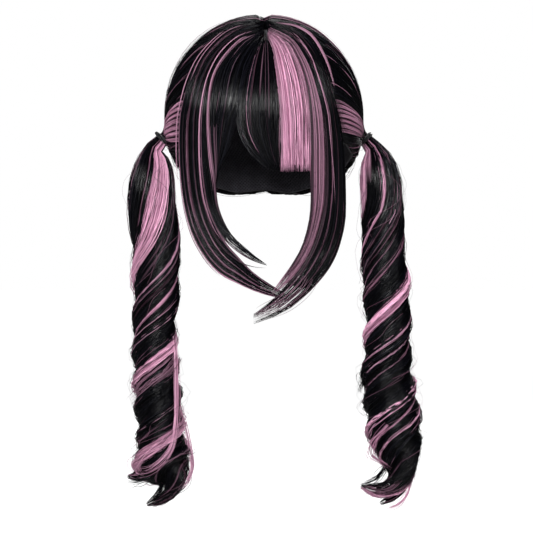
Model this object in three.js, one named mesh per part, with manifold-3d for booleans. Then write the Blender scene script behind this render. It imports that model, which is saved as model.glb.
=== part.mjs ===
// A twin-tail wig: a stretch cap under parted crown hair, a swept fringe, two long locks that frame the face
// and meet below the chin, and two ringlet tails that hang from hair ties above the ears.
// Millimetres, +Z up, the face towards -Y, +X to the right as the wig is seen from the front.
// The origin is the top of the head inside the cap.
import * as THREE from "three";
import { mergeVertices } from "three/addons/utils/BufferGeometryUtils.js";
import Module from "manifold-3d";

const wasm = await Module();
wasm.setup();

// The head that the wig fits
const HEAD_BREADTH = 164;
const HEAD_LENGTH = 192;
const HEAD_CROWN = 87; // from the top of the head down to its widest level
const HEAD_REACH = 130; // half-height of the oval that the head follows below that level

// The cap and the hair on it
const CAP_WALL = 1.5;
const CAP_DEPTH = 150; // from the top of the head down to the nape
const SEAT_GAP = 0.9; // between layers that rest on each other, which facets narrow
const CROWN_SEAT = 2.3; // the same between the cap and the crown hair, whose facets are larger
const ROOT_GAP = 0.4; // between the cap and the roots of the front hair
const SIDE_LAYER = 9; // outside of the hair from the head, at the sides
const TOP_LAYER = 11; // the same at the top
const RIM_LAYER = 5.4; // the same at the edges of the crown hair
const RIM_ROUNDING = 15; // over which the crown hair thins towards an edge
const SEAM = 1.4; // between neighbouring pieces of hair
const PART_OFFSET = 0.2; // of the parting from the middle of the head
const PART_END = 38; // how far in front of the top of the head the parting ends

// The hair that hangs round the face
const DRAPE_REACH = 223; // half-height of the oval that it follows below the widest level
const LOCK_DROP = 188; // from the widest level down to the lowest tip
const LOCK_THICKNESS = 6.4;
const CHEEK_THICKNESS = 4.6;
const FRINGE_THICKNESS = 6.2;
const RIDGE = 0.7; // height of the ribs that run along a lock
const ROOT_SHARE = 0.15; // of a lock's length, over which it leaves the cap
const SECTION_FALL = 0.8; // how much thinner a lock is at its edges than in its middle, as a share squared

// The hair that is combed to the ties
const TEMPLE_TOP = 0.21; // height of the temple strand's upper side on the face lock's edge, as a share
const TEMPLE_THICKNESS = 4;
const NECK_SPREAD = 18; // over which the gathered hair opens out from the tie onto the head
// Shares of a ray from the tie where the crown hair has a ring: as it opens out, over its outside and inside
const NECK_STEPS = [0, 0.5, 1];
const CROWN_STEPS = [0.14, 0.3, 0.48, 0.66, 0.82, 0.93, 1];
const INNER_STEPS = [0.12, 0.3, 0.48, 0.66, 0.83, 1];
// The parts of the outline of the hair that one tie gathers. rays: from the tie to that part. clear: gap that
// the hair keeps from it, more beside the front hair, whose edges bend between two rays.
const OUTLINE = {
  parting: { rays: 10, clear: 1 },
  rim: { rays: 12, clear: 1.4 },
  temple: { rays: 5, clear: 2.6 },
  lock: { rays: 9, clear: 2.8 },
};
const TURN_WEIGHT = 30; // millimetres of outline that one radian round the tie counts as
const THIN_UP_TO = 15; // length of a ray up to which the hair along it is as thin as at the edges
const FULL_FROM = 60; // length of a ray from which it has its whole thickness

// The ties and the tails
const TIE_DROP = 103; // from the top of the head down to the tie
const TIE_BACK = 12; // behind the middle of the head
const TIE_STANDOFF = 13; // outside the head
const TIE_SLOPE = 45; // of the hair where it leaves the tie, in degrees below level
const TIE_CORD = 2.4;
const BUNDLE_RADIUS = 5; // of the hair inside the tie
const BUNDLE_HALF = 3.8; // length of it on each side of the tie's middle before it widens
const FIT_GAP = 0.6; // between a piece and what it runs through
const TAIL_LENGTH = 337; // from the tie down to the lowest curl
const TAIL_RADIUS = 22;
const LOBE = 0.09; // of the radius, how far the twisted strands of a tail bulge
const PINK_HALF_ANGLE = 25; // degrees of a tail's round that its pink lock takes, to each side
const PINK_DEPTH = 0.4; // of the radius
const TAIL_RINGS = 44;
const PINK_RINGS = 40; // of them that the pink lock has
const TWIST_WEIGHT = 170; // millimetres of length that a whole turn counts as
const GIRTH_WEIGHT = 60; // the same for a widening by the whole radius

const BLACK = { color: 0x1b1a1f, roughness: 0.45, metalness: 0 };
const PINK = { color: 0xc27fa4, roughness: 0.45, metalness: 0 };
const NET = { color: 0x141317, roughness: 0.9, metalness: 0 };
const ELASTIC = { color: 0x101013, roughness: 0.6, metalness: 0 };

// Rows of numbers as objects with the columns' names
const table = (columns, rows) =>
  rows.map((row) => Object.fromEntries(columns.map((name, i) => [name, row[i]])));

// The edges between the pieces of front hair, from the parting to the tips, as they are seen from the front.
// across: share of the hair's half breadth. level: height from the widest level, as a share of the hair's
// top above it and of the locks' drop below it.
const edge = (rows) => table(["across", "level"], rows);

const LOCK_LEFT_OUTER = edge([
  [0.0, 0.925], [-0.2, 0.892], [-0.38, 0.815], [-0.52, 0.705], [-0.655, 0.55], [-0.76, 0.335],
  [-0.83, 0.095], [-0.86, -0.08], [-0.855, -0.24], [-0.825, -0.39], [-0.77, -0.51], [-0.695, -0.605],
  [-0.58, -0.7], [-0.445, -0.77], [-0.3, -0.812], [-0.14, -0.852], [0.03, -0.882], [0.25, -0.91],
]);
const LOCK_LEFT_INNER = edge([
  [0.0, 0.845], [-0.14, 0.8], [-0.275, 0.735], [-0.415, 0.61], [-0.51, 0.46], [-0.57, 0.305],
  [-0.61, 0.11], [-0.63, -0.06], [-0.625, -0.225], [-0.6, -0.345], [-0.565, -0.425], [-0.515, -0.5],
  [-0.455, -0.573], [-0.375, -0.64], [-0.285, -0.69], [-0.14, -0.762], [0.03, -0.823], [0.255, -0.885],
]);
const CHEEK_LEFT_OUTER = edge([
  ...LOCK_LEFT_INNER.slice(0, 11).map(({ across, level }) => [across, level]),
  [-0.49, -0.525], [-0.4, -0.59], [-0.31, -0.632], [-0.2, -0.668], [-0.09, -0.695], [0.03, -0.716],
]);
const CHEEK_LEFT_INNER = edge([
  [0.0, 0.805], [-0.12, 0.765], [-0.235, 0.715], [-0.375, 0.58], [-0.47, 0.44], [-0.52, 0.3],
  [-0.545, 0.11], [-0.55, -0.06], [-0.525, -0.205], [-0.495, -0.3], [-0.48, -0.395],
  [-0.445, -0.46], [-0.385, -0.525], [-0.305, -0.582], [-0.19, -0.632], [-0.085, -0.675], [0.03, -0.71],
]);
const FRINGE_LEFT_INNER = edge([
  [0.0, 0.775], [-0.06, 0.715], [-0.118, 0.63], [-0.165, 0.54], [-0.198, 0.46], [-0.245, 0.26],
  [-0.28, 0.055], [-0.335, -0.065], [-0.39, -0.16], [-0.45, -0.245], [-0.475, -0.31],
]);
const FRINGE_CENTRE_LEFT = edge([
  [0.012, 0.765], [-0.095, 0.63], [-0.176, 0.46], [-0.228, 0.26], [-0.256, 0.075],
  [-0.243, -0.05], [-0.165, -0.14], [-0.05, -0.21], [0.08, -0.255],
]);
const FRINGE_CENTRE_RIGHT = edge([
  [0.022, 0.762], [0.079, 0.65], [0.118, 0.46], [0.146, 0.24], [0.163, 0.03],
  [0.168, -0.05], [0.17, -0.13], [0.17, -0.2], [0.168, -0.262],
]);
const FRINGE_PINK_LEFT = edge([
  [0.034, 0.765], [0.079, 0.65], [0.118, 0.46], [0.146, 0.24], [0.163, 0.03],
  [0.168, -0.05], [0.17, -0.13], [0.17, -0.2], [0.17, -0.266],
]);
const FRINGE_PINK_RIGHT = edge([
  [0.04, 0.805], [0.228, 0.715], [0.325, 0.57], [0.395, 0.41], [0.442, 0.225],
  [0.47, 0.015], [0.478, -0.1], [0.481, -0.19], [0.481, -0.262],
]);
const CHEEK_RIGHT_INNER = edge([
  [0.04, 0.805], [0.228, 0.715], [0.325, 0.57], [0.395, 0.41], [0.442, 0.225], [0.47, 0.015],
  [0.481, -0.134], [0.481, -0.262], [0.48, -0.404], [0.459, -0.502], [0.395, -0.613], [0.3, -0.698],
  [0.19, -0.775], [0.08, -0.842],
]);
const CHEEK_RIGHT_OUTER = edge([
  [0.04, 0.845], [0.268, 0.735], [0.38, 0.592], [0.463, 0.43], [0.52, 0.265], [0.566, 0.1],
  [0.6, -0.1], [0.605, -0.27], [0.595, -0.404], [0.56, -0.502], [0.49, -0.613], [0.38, -0.71],
  [0.235, -0.792], [0.09, -0.855],
]);
const LOCK_RIGHT_INNER = edge([
  [0.04, 0.845], [0.268, 0.735], [0.38, 0.592], [0.463, 0.43], [0.52, 0.265], [0.566, 0.1],
  [0.597, -0.036], [0.605, -0.16], [0.605, -0.293], [0.597, -0.403], [0.562, -0.502], [0.493, -0.613],
  [0.414, -0.69], [0.326, -0.757], [0.208, -0.824], [0.08, -0.886], [-0.11, -0.955],
]);
const LOCK_RIGHT_OUTER = edge([
  [0.03, 0.925], [0.19, 0.9], [0.327, 0.852], [0.443, 0.776], [0.526, 0.665], [0.614, 0.492], [0.682, 0.3],
  [0.746, 0.053], [0.797, -0.081], [0.819, -0.2], [0.834, -0.357], [0.831, -0.499], [0.775, -0.62],
  [0.69, -0.71], [0.575, -0.785], [0.42, -0.86], [0.2, -0.94], [-0.11, -1.0],
]);

// The cap's lower edge. azimuth: degrees from the middle of the forehead. depth: share of the cap's depth.
const CAP_EDGE = table(["azimuth", "depth"], [
  [0, 0.34], [25, 0.38], [40, 0.5], [52, 0.66], [62, 0.725], [78, 0.775], [98, 0.805], [115, 0.87],
  [138, 0.965], [160, 1.0], [180, 0.985],
]);

// The middle line of each tail, from the tie to the tip. drop: share of the tail's length. sway and aft:
// shares of its radius. girth: share of its radius. turn: whole turns of the twist so far.
const TAIL_COLUMNS = ["drop", "sway", "aft", "girth", "turn"];
const TAIL_LEFT = table(TAIL_COLUMNS, [
  [0.027, -0.36, 0.0, 0.36, 0.0],
  [0.047, -0.4, 0.0, 0.57, 0.0],
  [0.072, -0.39, 0.0, 0.75, 0.0],
  [0.123, -0.42, 0.0, 0.93, 0.015],
  [0.19, -0.43, 0.0, 1.0, 0.045],
  [0.25, -0.35, 0.0, 0.99, 0.09],
  [0.32, -0.26, 0.0, 0.95, 0.2],
  [0.4, -0.27, 0.0, 0.93, 0.4],
  [0.48, -0.32, 0.0, 0.87, 0.6],
  [0.56, -0.36, 0.0, 0.86, 0.88],
  [0.635, -0.27, 0.0, 0.9, 1.2],
  [0.705, -0.21, 0.0, 0.96, 1.52],
  [0.77, -0.12, 0.0, 0.93, 1.81],
  [0.812, -0.05, -0.03, 0.96, 2.0],
  [0.847, -0.02, -0.05, 1.08, 2.16],
  [0.877, 0.02, -0.08, 1.14, 2.3],
  [0.903, 0.14, -0.12, 1.0, 2.42],
  [0.927, 0.32, -0.2, 0.72, 2.52],
  [0.95, 0.36, -0.28, 0.48, 2.6],
  [0.973, 0.12, -0.34, 0.3, 2.65],
  [0.99, -0.25, -0.34, 0.17, 2.68],
  [1.0, -0.65, -0.33, 0.05, 2.7],
]);
const TAIL_RIGHT = table(TAIL_COLUMNS, [
  [0.027, 0.35, 0.0, 0.35, 0.0],
  [0.047, 0.45, 0.0, 0.56, 0.0],
  [0.072, 0.54, 0.0, 0.72, 0.0],
  [0.123, 0.67, 0.0, 0.83, 0.01],
  [0.186, 0.74, 0.0, 0.85, 0.035],
  [0.247, 0.72, 0.0, 0.87, 0.12],
  [0.315, 0.77, 0.0, 0.88, 0.28],
  [0.384, 0.83, 0.0, 0.94, 0.47],
  [0.44, 0.9, 0.0, 0.93, 0.63],
  [0.515, 0.94, 0.0, 0.91, 0.88],
  [0.592, 0.92, 0.0, 0.96, 1.15],
  [0.66, 0.92, 0.0, 1.04, 1.42],
  [0.712, 1.05, 0.0, 1.1, 1.65],
  [0.756, 1.15, 0.0, 1.1, 1.82],
  [0.803, 1.23, 0.0, 1.08, 2.0],
  [0.847, 1.34, -0.05, 0.98, 2.15],
  [0.885, 1.5, -0.1, 0.74, 2.28],
  [0.92, 1.48, -0.2, 0.52, 2.4],
  [0.945, 1.2, -0.3, 0.38, 2.48],
  [0.96, 0.75, -0.35, 0.28, 2.54],
  [0.96, 0.25, -0.35, 0.18, 2.58],
  [0.95, -0.2, -0.3, 0.06, 2.6],
]);
// The shorter curl that leaves each tail above its tip, in the same columns
const CURL_LEFT = table(TAIL_COLUMNS, [
  [0.862, 0.1, 0.0, 0.4, 0.0],
  [0.892, -0.32, -0.05, 0.42, 0.05],
  [0.911, -0.72, -0.08, 0.34, 0.1],
  [0.921, -1.02, -0.1, 0.24, 0.15],
  [0.925, -1.25, -0.1, 0.14, 0.2],
  [0.924, -1.48, -0.1, 0.05, 0.25],
]);
const CURL_RIGHT = table(TAIL_COLUMNS, [
  [0.85, 1.45, 0.2, 0.45, 0.0],
  [0.91, 1.6, 0.35, 0.36, 0.05],
  [0.955, 1.45, 0.4, 0.26, 0.1],
  [0.985, 1.05, 0.3, 0.16, 0.15],
  [1.0, 0.6, 0.15, 0.05, 0.2],
]);
const PINK_START_LEFT = 28; // degrees from the front towards +X where a tail's pink lock leaves the tie
const PINK_START_RIGHT = -100;

const radians = THREE.MathUtils.degToRad;
const { lerp, smoothstep } = THREE.MathUtils;

// Height of the hair's outside above the head, in the direction of a unit vector from the head's middle
const hairLayer = (direction) => SIDE_LAYER + (TOP_LAYER - SIDE_LAYER) * Math.max(0, direction.z);

// The point `layer` outside the head in that direction. Below the widest level the shell has that reach.
function shellPoint(direction, layer, reach) {
  const half = direction.z > 0 ? HEAD_CROWN : reach;
  return new THREE.Vector3(
    direction.x * (HEAD_BREADTH / 2 + layer),
    direction.y * (HEAD_LENGTH / 2 + layer),
    direction.z * (half + layer) - HEAD_CROWN,
  );
}

// The direction in which a point of that shell lies
function shellDirection(point, layer, reach) {
  const height = point.z + HEAD_CROWN;
  const half = height > 0 ? HEAD_CROWN : reach;
  return new THREE.Vector3(
    point.x / (HEAD_BREADTH / 2 + layer),
    point.y / (HEAD_LENGTH / 2 + layer),
    height / (half + layer),
  ).normalize();
}

// The direction of a place in the front view, which is given as an edge's row is
function frontDirection({ x: across, y: level }) {
  const up = level > 0 ? level : (level * LOCK_DROP) / (DRAPE_REACH + SIDE_LAYER);
  const forward = Math.sqrt(Math.max(0, 1 - across * across - up * up));
  return new THREE.Vector3(across, -forward, up);
}

// A smooth curve through an edge's rows. Its parameter runs evenly over the rows.
const edgeCurve = (rows) =>
  new THREE.SplineCurve(rows.map(({ across, level }) => new THREE.Vector2(across, level)));

// The value of a column between rows, at a share of the whole table
function column(rows, name, share) {
  const place = THREE.MathUtils.clamp(share, 0, 1) * (rows.length - 1);
  const i = Math.min(Math.floor(place), rows.length - 2);
  return lerp(rows[i][name], rows[i + 1][name], place - i);
}

// One closed solid through rings of equal count, with a fan to a point over each end. Each four-sided face
// is split along its clearly shorter diagonal, or else always the same way, so that facing walls agree.
function loft(rings, start, end) {
  const count = rings[0].length;
  const points = [...rings.flat(), start, end];
  const faces = [];
  rings.slice(1).forEach((ring, r) => {
    ring.forEach((point, i) => {
      const a = r * count + i;
      const b = r * count + ((i + 1) % count);
      const [down, up] = [points[a].distanceTo(points[b + count]), points[b].distanceTo(points[a + count])];
      if (down < 0.9 * up) faces.push(a, b, b + count, a, b + count, a + count);
      else faces.push(a, b, a + count, b, b + count, a + count);
    });
  });
  const last = (rings.length - 1) * count;
  rings[0].forEach((point, i) => {
    const next = (i + 1) % count;
    faces.push(next, i, points.length - 2, last + i, last + next, points.length - 1);
  });
  const geometry = new THREE.BufferGeometry().setFromPoints(points);
  geometry.setIndex(volumeOf(points, faces) < 0 ? faces.reverse() : faces);
  geometry.computeVertexNormals();
  return geometry;
}

// Six times the volume inside the faces, below zero where they point inwards
function volumeOf(points, faces) {
  let sum = 0;
  for (let i = 0; i < faces.length; i += 3) {
    const [a, b, c] = [points[faces[i]], points[faces[i + 1]], points[faces[i + 2]]];
    sum += a.dot(b.clone().cross(c));
  }
  return sum;
}

const centreOf = (points) =>
  points.reduce((sum, point) => sum.add(point), new THREE.Vector3()).divideScalar(points.length);

// A closed geometry as a manifold-3d solid, and back
function solidOf(geometry) {
  const bare = new THREE.BufferGeometry().setAttribute("position", geometry.getAttribute("position"));
  bare.setIndex(geometry.getIndex());
  const merged = mergeVertices(bare, 1e-4);
  return new wasm.Manifold(
    new wasm.Mesh({
      numProp: 3,
      vertProperties: merged.attributes.position.array,
      triVerts: new Uint32Array(merged.index.array),
    }),
  );
}
function geometryOf(solid) {
  const { numProp, vertProperties, triVerts } = solid.getMesh();
  const places = new Float32Array((vertProperties.length / numProp) * 3);
  for (let i = 0; i < places.length / 3; i++)
    places.set(vertProperties.subarray(i * numProp, i * numProp + 3), i * 3);
  const geometry = new THREE.BufferGeometry();
  geometry.setAttribute("position", new THREE.BufferAttribute(places, 3));
  geometry.setIndex(new THREE.BufferAttribute(triVerts, 1));
  geometry.computeVertexNormals();
  return geometry;
}
const joined = (...geometries) => geometryOf(geometries.map(solidOf).reduce((a, b) => a.add(b)));

const wig = new THREE.Group();
wig.name = "twin_tail_wig";
function place(name, geometry, finish) {
  const mesh = new THREE.Mesh(geometry, new THREE.MeshStandardMaterial(finish));
  mesh.name = name;
  wig.add(mesh);
}

// The direction on the cap's lower edge at an azimuth in degrees from the forehead towards +X
function capEdgeDirection(azimuth) {
  const from = Math.abs(THREE.MathUtils.euclideanModulo(azimuth + 180, 360) - 180);
  const i = Math.min(CAP_EDGE.findLastIndex((row) => row.azimuth <= from), CAP_EDGE.length - 2);
  const [low, high] = [CAP_EDGE[i], CAP_EDGE[i + 1]];
  const share = (from - low.azimuth) / (high.azimuth - low.azimuth);
  const depth = lerp(low.depth, high.depth, share * share * (3 - 2 * share)) * CAP_DEPTH;
  const height = HEAD_CROWN - depth;
  const up = height / (height > 0 ? HEAD_CROWN : HEAD_REACH);
  const level = Math.sqrt(1 - up * up);
  const turn = radians(azimuth);
  return new THREE.Vector3(Math.sin(turn) * level, -Math.cos(turn) * level, up);
}

// The cap: two layers of rings from the top of the head down to the edge and back
function cap() {
  const around = 32; // vertices of a ring
  const down = 7; // rings of a layer
  const ring = (share, layer) =>
    Array.from({ length: around }, (unused, i) => {
      const low = capEdgeDirection((i / around) * 360);
      const polar = Math.acos(low.z) * share;
      const flat = Math.hypot(low.x, low.y);
      const direction = new THREE.Vector3(
        (low.x / flat) * Math.sin(polar),
        (low.y / flat) * Math.sin(polar),
        Math.cos(polar),
      );
      return shellPoint(direction, layer, HEAD_REACH);
    });
  const shares = Array.from({ length: down }, (unused, i) => (i + 1) / down);
  const rings = [
    ...shares.map((share) => ring(share, 0)),
    ...shares.reverse().map((share) => ring(share, CAP_WALL)),
  ];
  const top = new THREE.Vector3(0, 0, 1);
  return loft(rings, shellPoint(top, 0, HEAD_REACH), shellPoint(top, CAP_WALL, HEAD_REACH));
}

// A piece of front hair between two edges. It hangs on the drape, and rests on the cap where it lies on it.
// until: share of the outer edge that it follows. sink: how far its tip lies inside the drape. tip: share of
// the thickness that is left there.
function frontHair({ outer, inner, until = 1, stations, points, thickness, sink = 0, tip = 0.3 }) {
  const [outerCurve, innerCurve] = [edgeCurve(outer), edgeCurve(inner)];
  const cross = Array.from({ length: points }, (unused, i) => (i / (points - 1)) * 2 - 1);
  const rings = Array.from({ length: stations }, (unused, station) => {
    const share = station / (stations - 1);
    const a = outerCurve.getPoint(share * until);
    const b = innerCurve.getPoint(share);
    const width = shellPoint(frontDirection(a), SIDE_LAYER, DRAPE_REACH).distanceTo(
      shellPoint(frontDirection(b), SIDE_LAYER, DRAPE_REACH),
    );
    const inset = Math.min(SEAM / 2 / Math.max(width, SEAM), 0.35);
    const depth = thickness * lerp(1, tip, smoothstep(share, 0.35, 1));
    const rooted = smoothstep(share, 0, ROOT_SHARE);
    const sunk = sink * smoothstep(share, 0.6, 1);
    const seat = CAP_WALL + lerp(ROOT_GAP, SEAT_GAP, rooted) - sunk;
    const side = (sign) =>
      cross.map((u, i) => {
        const direction = frontDirection(a.clone().lerp(b, lerp(inset, 1 - inset, (u + 1) / 2)));
        const lens = Math.sqrt(1 - SECTION_FALL * u * u);
        const rib = sign > 0 && i % 2 ? RIDGE * (1 - share) : 0;
        const middle = hairLayer(direction) - thickness / 2 - sunk;
        const layer = middle + (sign * lens * depth) / 2 - rib;
        if (sign > 0) return shellPoint(direction, layer, DRAPE_REACH);
        return shellPoint(direction, Math.max(lerp(seat, layer, rooted), seat), DRAPE_REACH);
      });
    return [...side(1), ...side(-1).reverse()];
  });
  return loft(rings, centreOf(rings[0]), centreOf(rings.at(-1)));
}

// Where a tie holds its tail, and the way the hair leaves it. side is -1 on the left and 1 on the right.
function tieFrame(side) {
  const up = (HEAD_CROWN - TIE_DROP) / HEAD_REACH;
  const back = TIE_BACK / (HEAD_LENGTH / 2);
  const across = Math.sqrt(1 - up * up - back * back) * (HEAD_BREADTH / 2) + TIE_STANDOFF;
  const centre = new THREE.Vector3(side * across, TIE_BACK, -TIE_DROP);
  const slope = radians(TIE_SLOPE);
  const axis = new THREE.Vector3(side * Math.cos(slope), 0, -Math.sin(slope));
  const front = new THREE.Vector3(0, -1, 0);
  return { centre, axis, front, over: axis.clone().cross(front) };
}

// The outline of the hair that one tie gathers, as lists of directions: down the parting, along the cap's
// edge to the temple, and up the face lock's outer edge past the temple strand
function gatheredOutline(side, lockEdge) {
  const steps = Array.from({ length: 121 }, (unused, i) => i / 120);
  const part = PART_OFFSET / (HEAD_BREADTH / 2);
  const nape = Math.acos(capEdgeDirection(180).z);
  const front = -Math.asin(PART_END / (HEAD_LENGTH / 2 + TOP_LAYER));
  const parting = steps.map((share) => {
    const polar = lerp(front, nape, share);
    return new THREE.Vector3(side * part, Math.sin(polar), Math.cos(polar)).normalize();
  });
  const curve = edgeCurve(lockEdge);
  const alongLock = steps
    .flatMap((share) => [share, share + 1 / 240])
    .map((share) => {
      const direction = frontDirection(curve.getPoint(Math.min(share, 1)));
      const point = shellPoint(direction, hairLayer(direction), DRAPE_REACH);
      return shellDirection(point, hairLayer(direction), HEAD_REACH);
    });
  const azimuthOf = (d) => THREE.MathUtils.radToDeg(Math.atan2(Math.abs(d.x), -d.y));
  const end = alongLock.findIndex((d) => d.z < capEdgeDirection(azimuthOf(d)).z);
  const temple = alongLock.findIndex((d) => d.z < TEMPLE_TOP);
  const rim = steps.map((share) => capEdgeDirection(side * lerp(180, azimuthOf(alongLock[end]), share)));
  const lock = alongLock.slice(1, end).reverse();
  return { parting, rim, temple: lock.slice(0, end - temple), lock: lock.slice(end - temple) };
}

// Rays from the tie to points of the outline, spread over each part by angle round the tie and by length
function gatherRays(side, lockEdge) {
  const { centre, axis, front, over } = tieFrame(side);
  const pole = shellDirection(centre, TIE_STANDOFF, HEAD_REACH);
  const spot = (direction) => shellPoint(direction, SIDE_LAYER, HEAD_REACH);
  const angleOf = (target) => {
    const way = spot(turned(pole, target, 0.02)).sub(spot(pole));
    return Math.atan2(way.dot(over), way.dot(front));
  };
  const outline = gatheredOutline(side, lockEdge);
  return Object.entries(OUTLINE).flatMap(([part, { rays, clear }]) => {
    const targets = outline[part];
    let travelled = 0;
    const marks = targets.map((target, i) => {
      if (i > 0) {
        const change = Math.abs(angleOf(target) - angleOf(targets[i - 1]));
        const swing = Math.min(change, 2 * Math.PI - change);
        travelled += swing * TURN_WEIGHT + spot(target).distanceTo(spot(targets[i - 1]));
      }
      return travelled;
    });
    return Array.from({ length: rays }, (unused, k) => {
      const wanted = (k / rays) * travelled;
      const i = Math.min(marks.findLastIndex((mark) => mark <= wanted), targets.length - 2);
      const between = (wanted - marks[i]) / (marks[i + 1] - marks[i]);
      const target = turned(targets[i], targets[i + 1], between);
      const middle = spot(turned(pole, target, 0.5));
      const length = middle.distanceTo(spot(target)) + middle.distanceTo(spot(pole));
      return { pole, target, length, clear, angle: angleOf(target), under: part === "temple" };
    });
  });
}

// The direction at a share of the shortest way from one direction to another
function turned(from, to, share) {
  const whole = from.angleTo(to);
  if (whole < 1e-6) return from.clone();
  const a = Math.sin((1 - share) * whole) / Math.sin(whole);
  const b = Math.sin(share * whole) / Math.sin(whole);
  return from.clone().multiplyScalar(a).addScaledVector(to, b);
}

// The hair of one side, combed from the parting and the cap's edge to the tie, and where the temple strand
// lies on it
function crown(side, lockEdge) {
  const { centre, axis, front, over } = tieFrame(side);
  const rays = gatherRays(side, lockEdge);
  const reachOf = (ray) => 1 - ray.clear / ray.length;
  const outside = rays.map((ray, k) => {
    const spread = Math.min(NECK_SPREAD, ray.length * 0.55);
    const body = smoothstep(ray.length, THIN_UP_TO, FULL_FROM);
    const surface = (share) => {
      const direction = turned(ray.pole, ray.target, share * reachOf(ray));
      const rounding = Math.min(RIM_ROUNDING, ray.length * 0.5);
      const toRim = Math.min(((1 - share) * ray.length) / rounding, 1);
      const rise = Math.sqrt(1 - (1 - toRim) ** 2);
      const combed = lerp(RIM_LAYER + 0.5, hairLayer(direction) - (k % 2) * RIDGE, body);
      const full = ray.under ? RIM_LAYER : combed;
      return shellPoint(direction, lerp(RIM_LAYER, full, rise), HEAD_REACH);
    };
    const inTie = centre
      .clone()
      .addScaledVector(front, BUNDLE_RADIUS * Math.cos(ray.angle))
      .addScaledVector(over, BUNDLE_RADIUS * Math.sin(ray.angle));
    const neck = inTie.clone().addScaledVector(axis, -BUNDLE_HALF);
    const bend = neck.clone().addScaledVector(axis, -0.2 * spread);
    const opening = new THREE.QuadraticBezierCurve3(neck, bend, surface(spread / ray.length));
    return [
      inTie,
      ...NECK_STEPS.map((share) => opening.getPoint(share)),
      ...CROWN_STEPS.map((share) => surface(lerp(spread / ray.length, 1, share))),
    ];
  });
  const seat = CAP_WALL + CROWN_SEAT;
  const inside = INNER_STEPS.map((share) =>
    rays.map((ray) => shellPoint(turned(ray.pole, ray.target, share * reachOf(ray)), seat, HEAD_REACH)),
  );
  const rings = [...inside, ...outside[0].map((unused, j) => outside.map((ray) => ray[j])).reverse()];
  const innerPole = shellPoint(rays[0].pole, seat, HEAD_REACH);
  const lanes = outside.filter((unused, k) => rays[k].under || rays[(k + 1) % rays.length].under);
  return { geometry: loft(rings, innerPole, centreOf(rings.at(-1))), lanes };
}

// The pink strand that lies on the crown hair's lowered rays from the temple to the tie
function templeStrand(lanes) {
  const fromJoint = 3;
  const last = lanes.length - 1;
  const steps = lanes[0].length - fromJoint - 2;
  const stations = Array.from({ length: steps }, (unused, j) => {
    const across = lanes.map((lane) => lane[j + fromJoint]);
    const along = lanes.map((lane) => lane[j + fromJoint + 1]);
    const body = Math.sin(Math.PI * lerp(0.12, 0.75, j / (steps - 1)));
    const layer = (height) =>
      across.map((point, i) => {
        const [before, after] = [across[Math.max(i - 1, 0)], across[Math.min(i + 1, last)]];
        const normal = after.clone().sub(before).cross(along[i].clone().sub(point)).normalize();
        if (normal.x * point.x < 0) normal.negate();
        return point.clone().addScaledVector(normal, height(i));
      });
    const lens = (i) => Math.sqrt(Math.max(0, 1 - ((2 * i) / last - 1) ** 2));
    const top = layer((i) => 2 * SEAT_GAP + TEMPLE_THICKNESS * body * lens(i) - (i % 2) * RIDGE * body);
    return [...top, ...layer(() => SEAT_GAP).reverse()];
  });
  return loft(stations, centreOf(stations[0]), centreOf(stations.at(-1)));
}

// A doubled elastic loop with its knot, round the gathered hair
function hairTie(side) {
  const { centre, axis, over } = tieFrame(side);
  const cord = TIE_CORD / 2;
  const ringRadius = BUNDLE_RADIUS + FIT_GAP + cord;
  const turnOf = (along) => new THREE.TorusGeometry(ringRadius, cord, 5, 14).translate(0, 0, along);
  const knot = new THREE.SphereGeometry(cord * 1.35, 8, 5).translate(0, ringRadius + cord * 0.8, 0);
  const tie = joined(turnOf(cord * 0.85), turnOf(-cord * 0.85), knot);
  const basis = new THREE.Matrix4().makeBasis(over.clone().cross(axis).negate(), over, axis);
  if (basis.determinant() < 0) basis.makeBasis(over.clone().cross(axis), over, axis);
  return tie.applyMatrix4(basis).translate(centre.x, centre.y, centre.z);
}

// The middle line of a tail or curl
function middleLine(side, rows) {
  const { centre } = tieFrame(side);
  return rows.map(
    ({ drop, sway, aft }) =>
      new THREE.Vector3(
        centre.x + sway * TAIL_RADIUS,
        centre.y + aft * TAIL_RADIUS,
        centre.z - drop * TAIL_LENGTH,
      ),
  );
}

// Rings round a middle line, closer where it twists or widens more. profile gives pairs of an angle from the
// pink lock in degrees and a share of the radius.
function ringsAlong(path, rows, count, profile, pinkStart) {
  const fine = Array.from({ length: 401 }, (unused, i) => i / 400);
  const change = (name, i) => Math.abs(column(rows, name, fine[i]) - column(rows, name, fine[i - 1]));
  let travelled = 0;
  const marks = fine.map((share, i) => {
    if (i > 0) {
      travelled += path.getPoint(share).distanceTo(path.getPoint(fine[i - 1]));
      travelled += change("turn", i) * TWIST_WEIGHT + change("girth", i) * GIRTH_WEIGHT;
    }
    return travelled;
  });
  return Array.from({ length: count }, (unused, k) => {
    const share = fine[marks.findIndex((mark) => mark >= (k / (count - 1)) * travelled)];
    const middle = path.getPoint(share);
    const along = path.getTangent(share);
    const front = new THREE.Vector3(0, -1, 0).addScaledVector(along, along.y).normalize();
    const right = front.clone().cross(along);
    const girth = column(rows, "girth", share) * TAIL_RADIUS;
    const twist = pinkStart - column(rows, "turn", share) * 360;
    return profile(share, girth).map(([angle, radius]) => {
      const turn = radians(twist + angle);
      return middle
        .clone()
        .addScaledVector(front, Math.cos(turn) * girth * radius)
        .addScaledVector(right, Math.sin(turn) * girth * radius);
    });
  });
}

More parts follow.
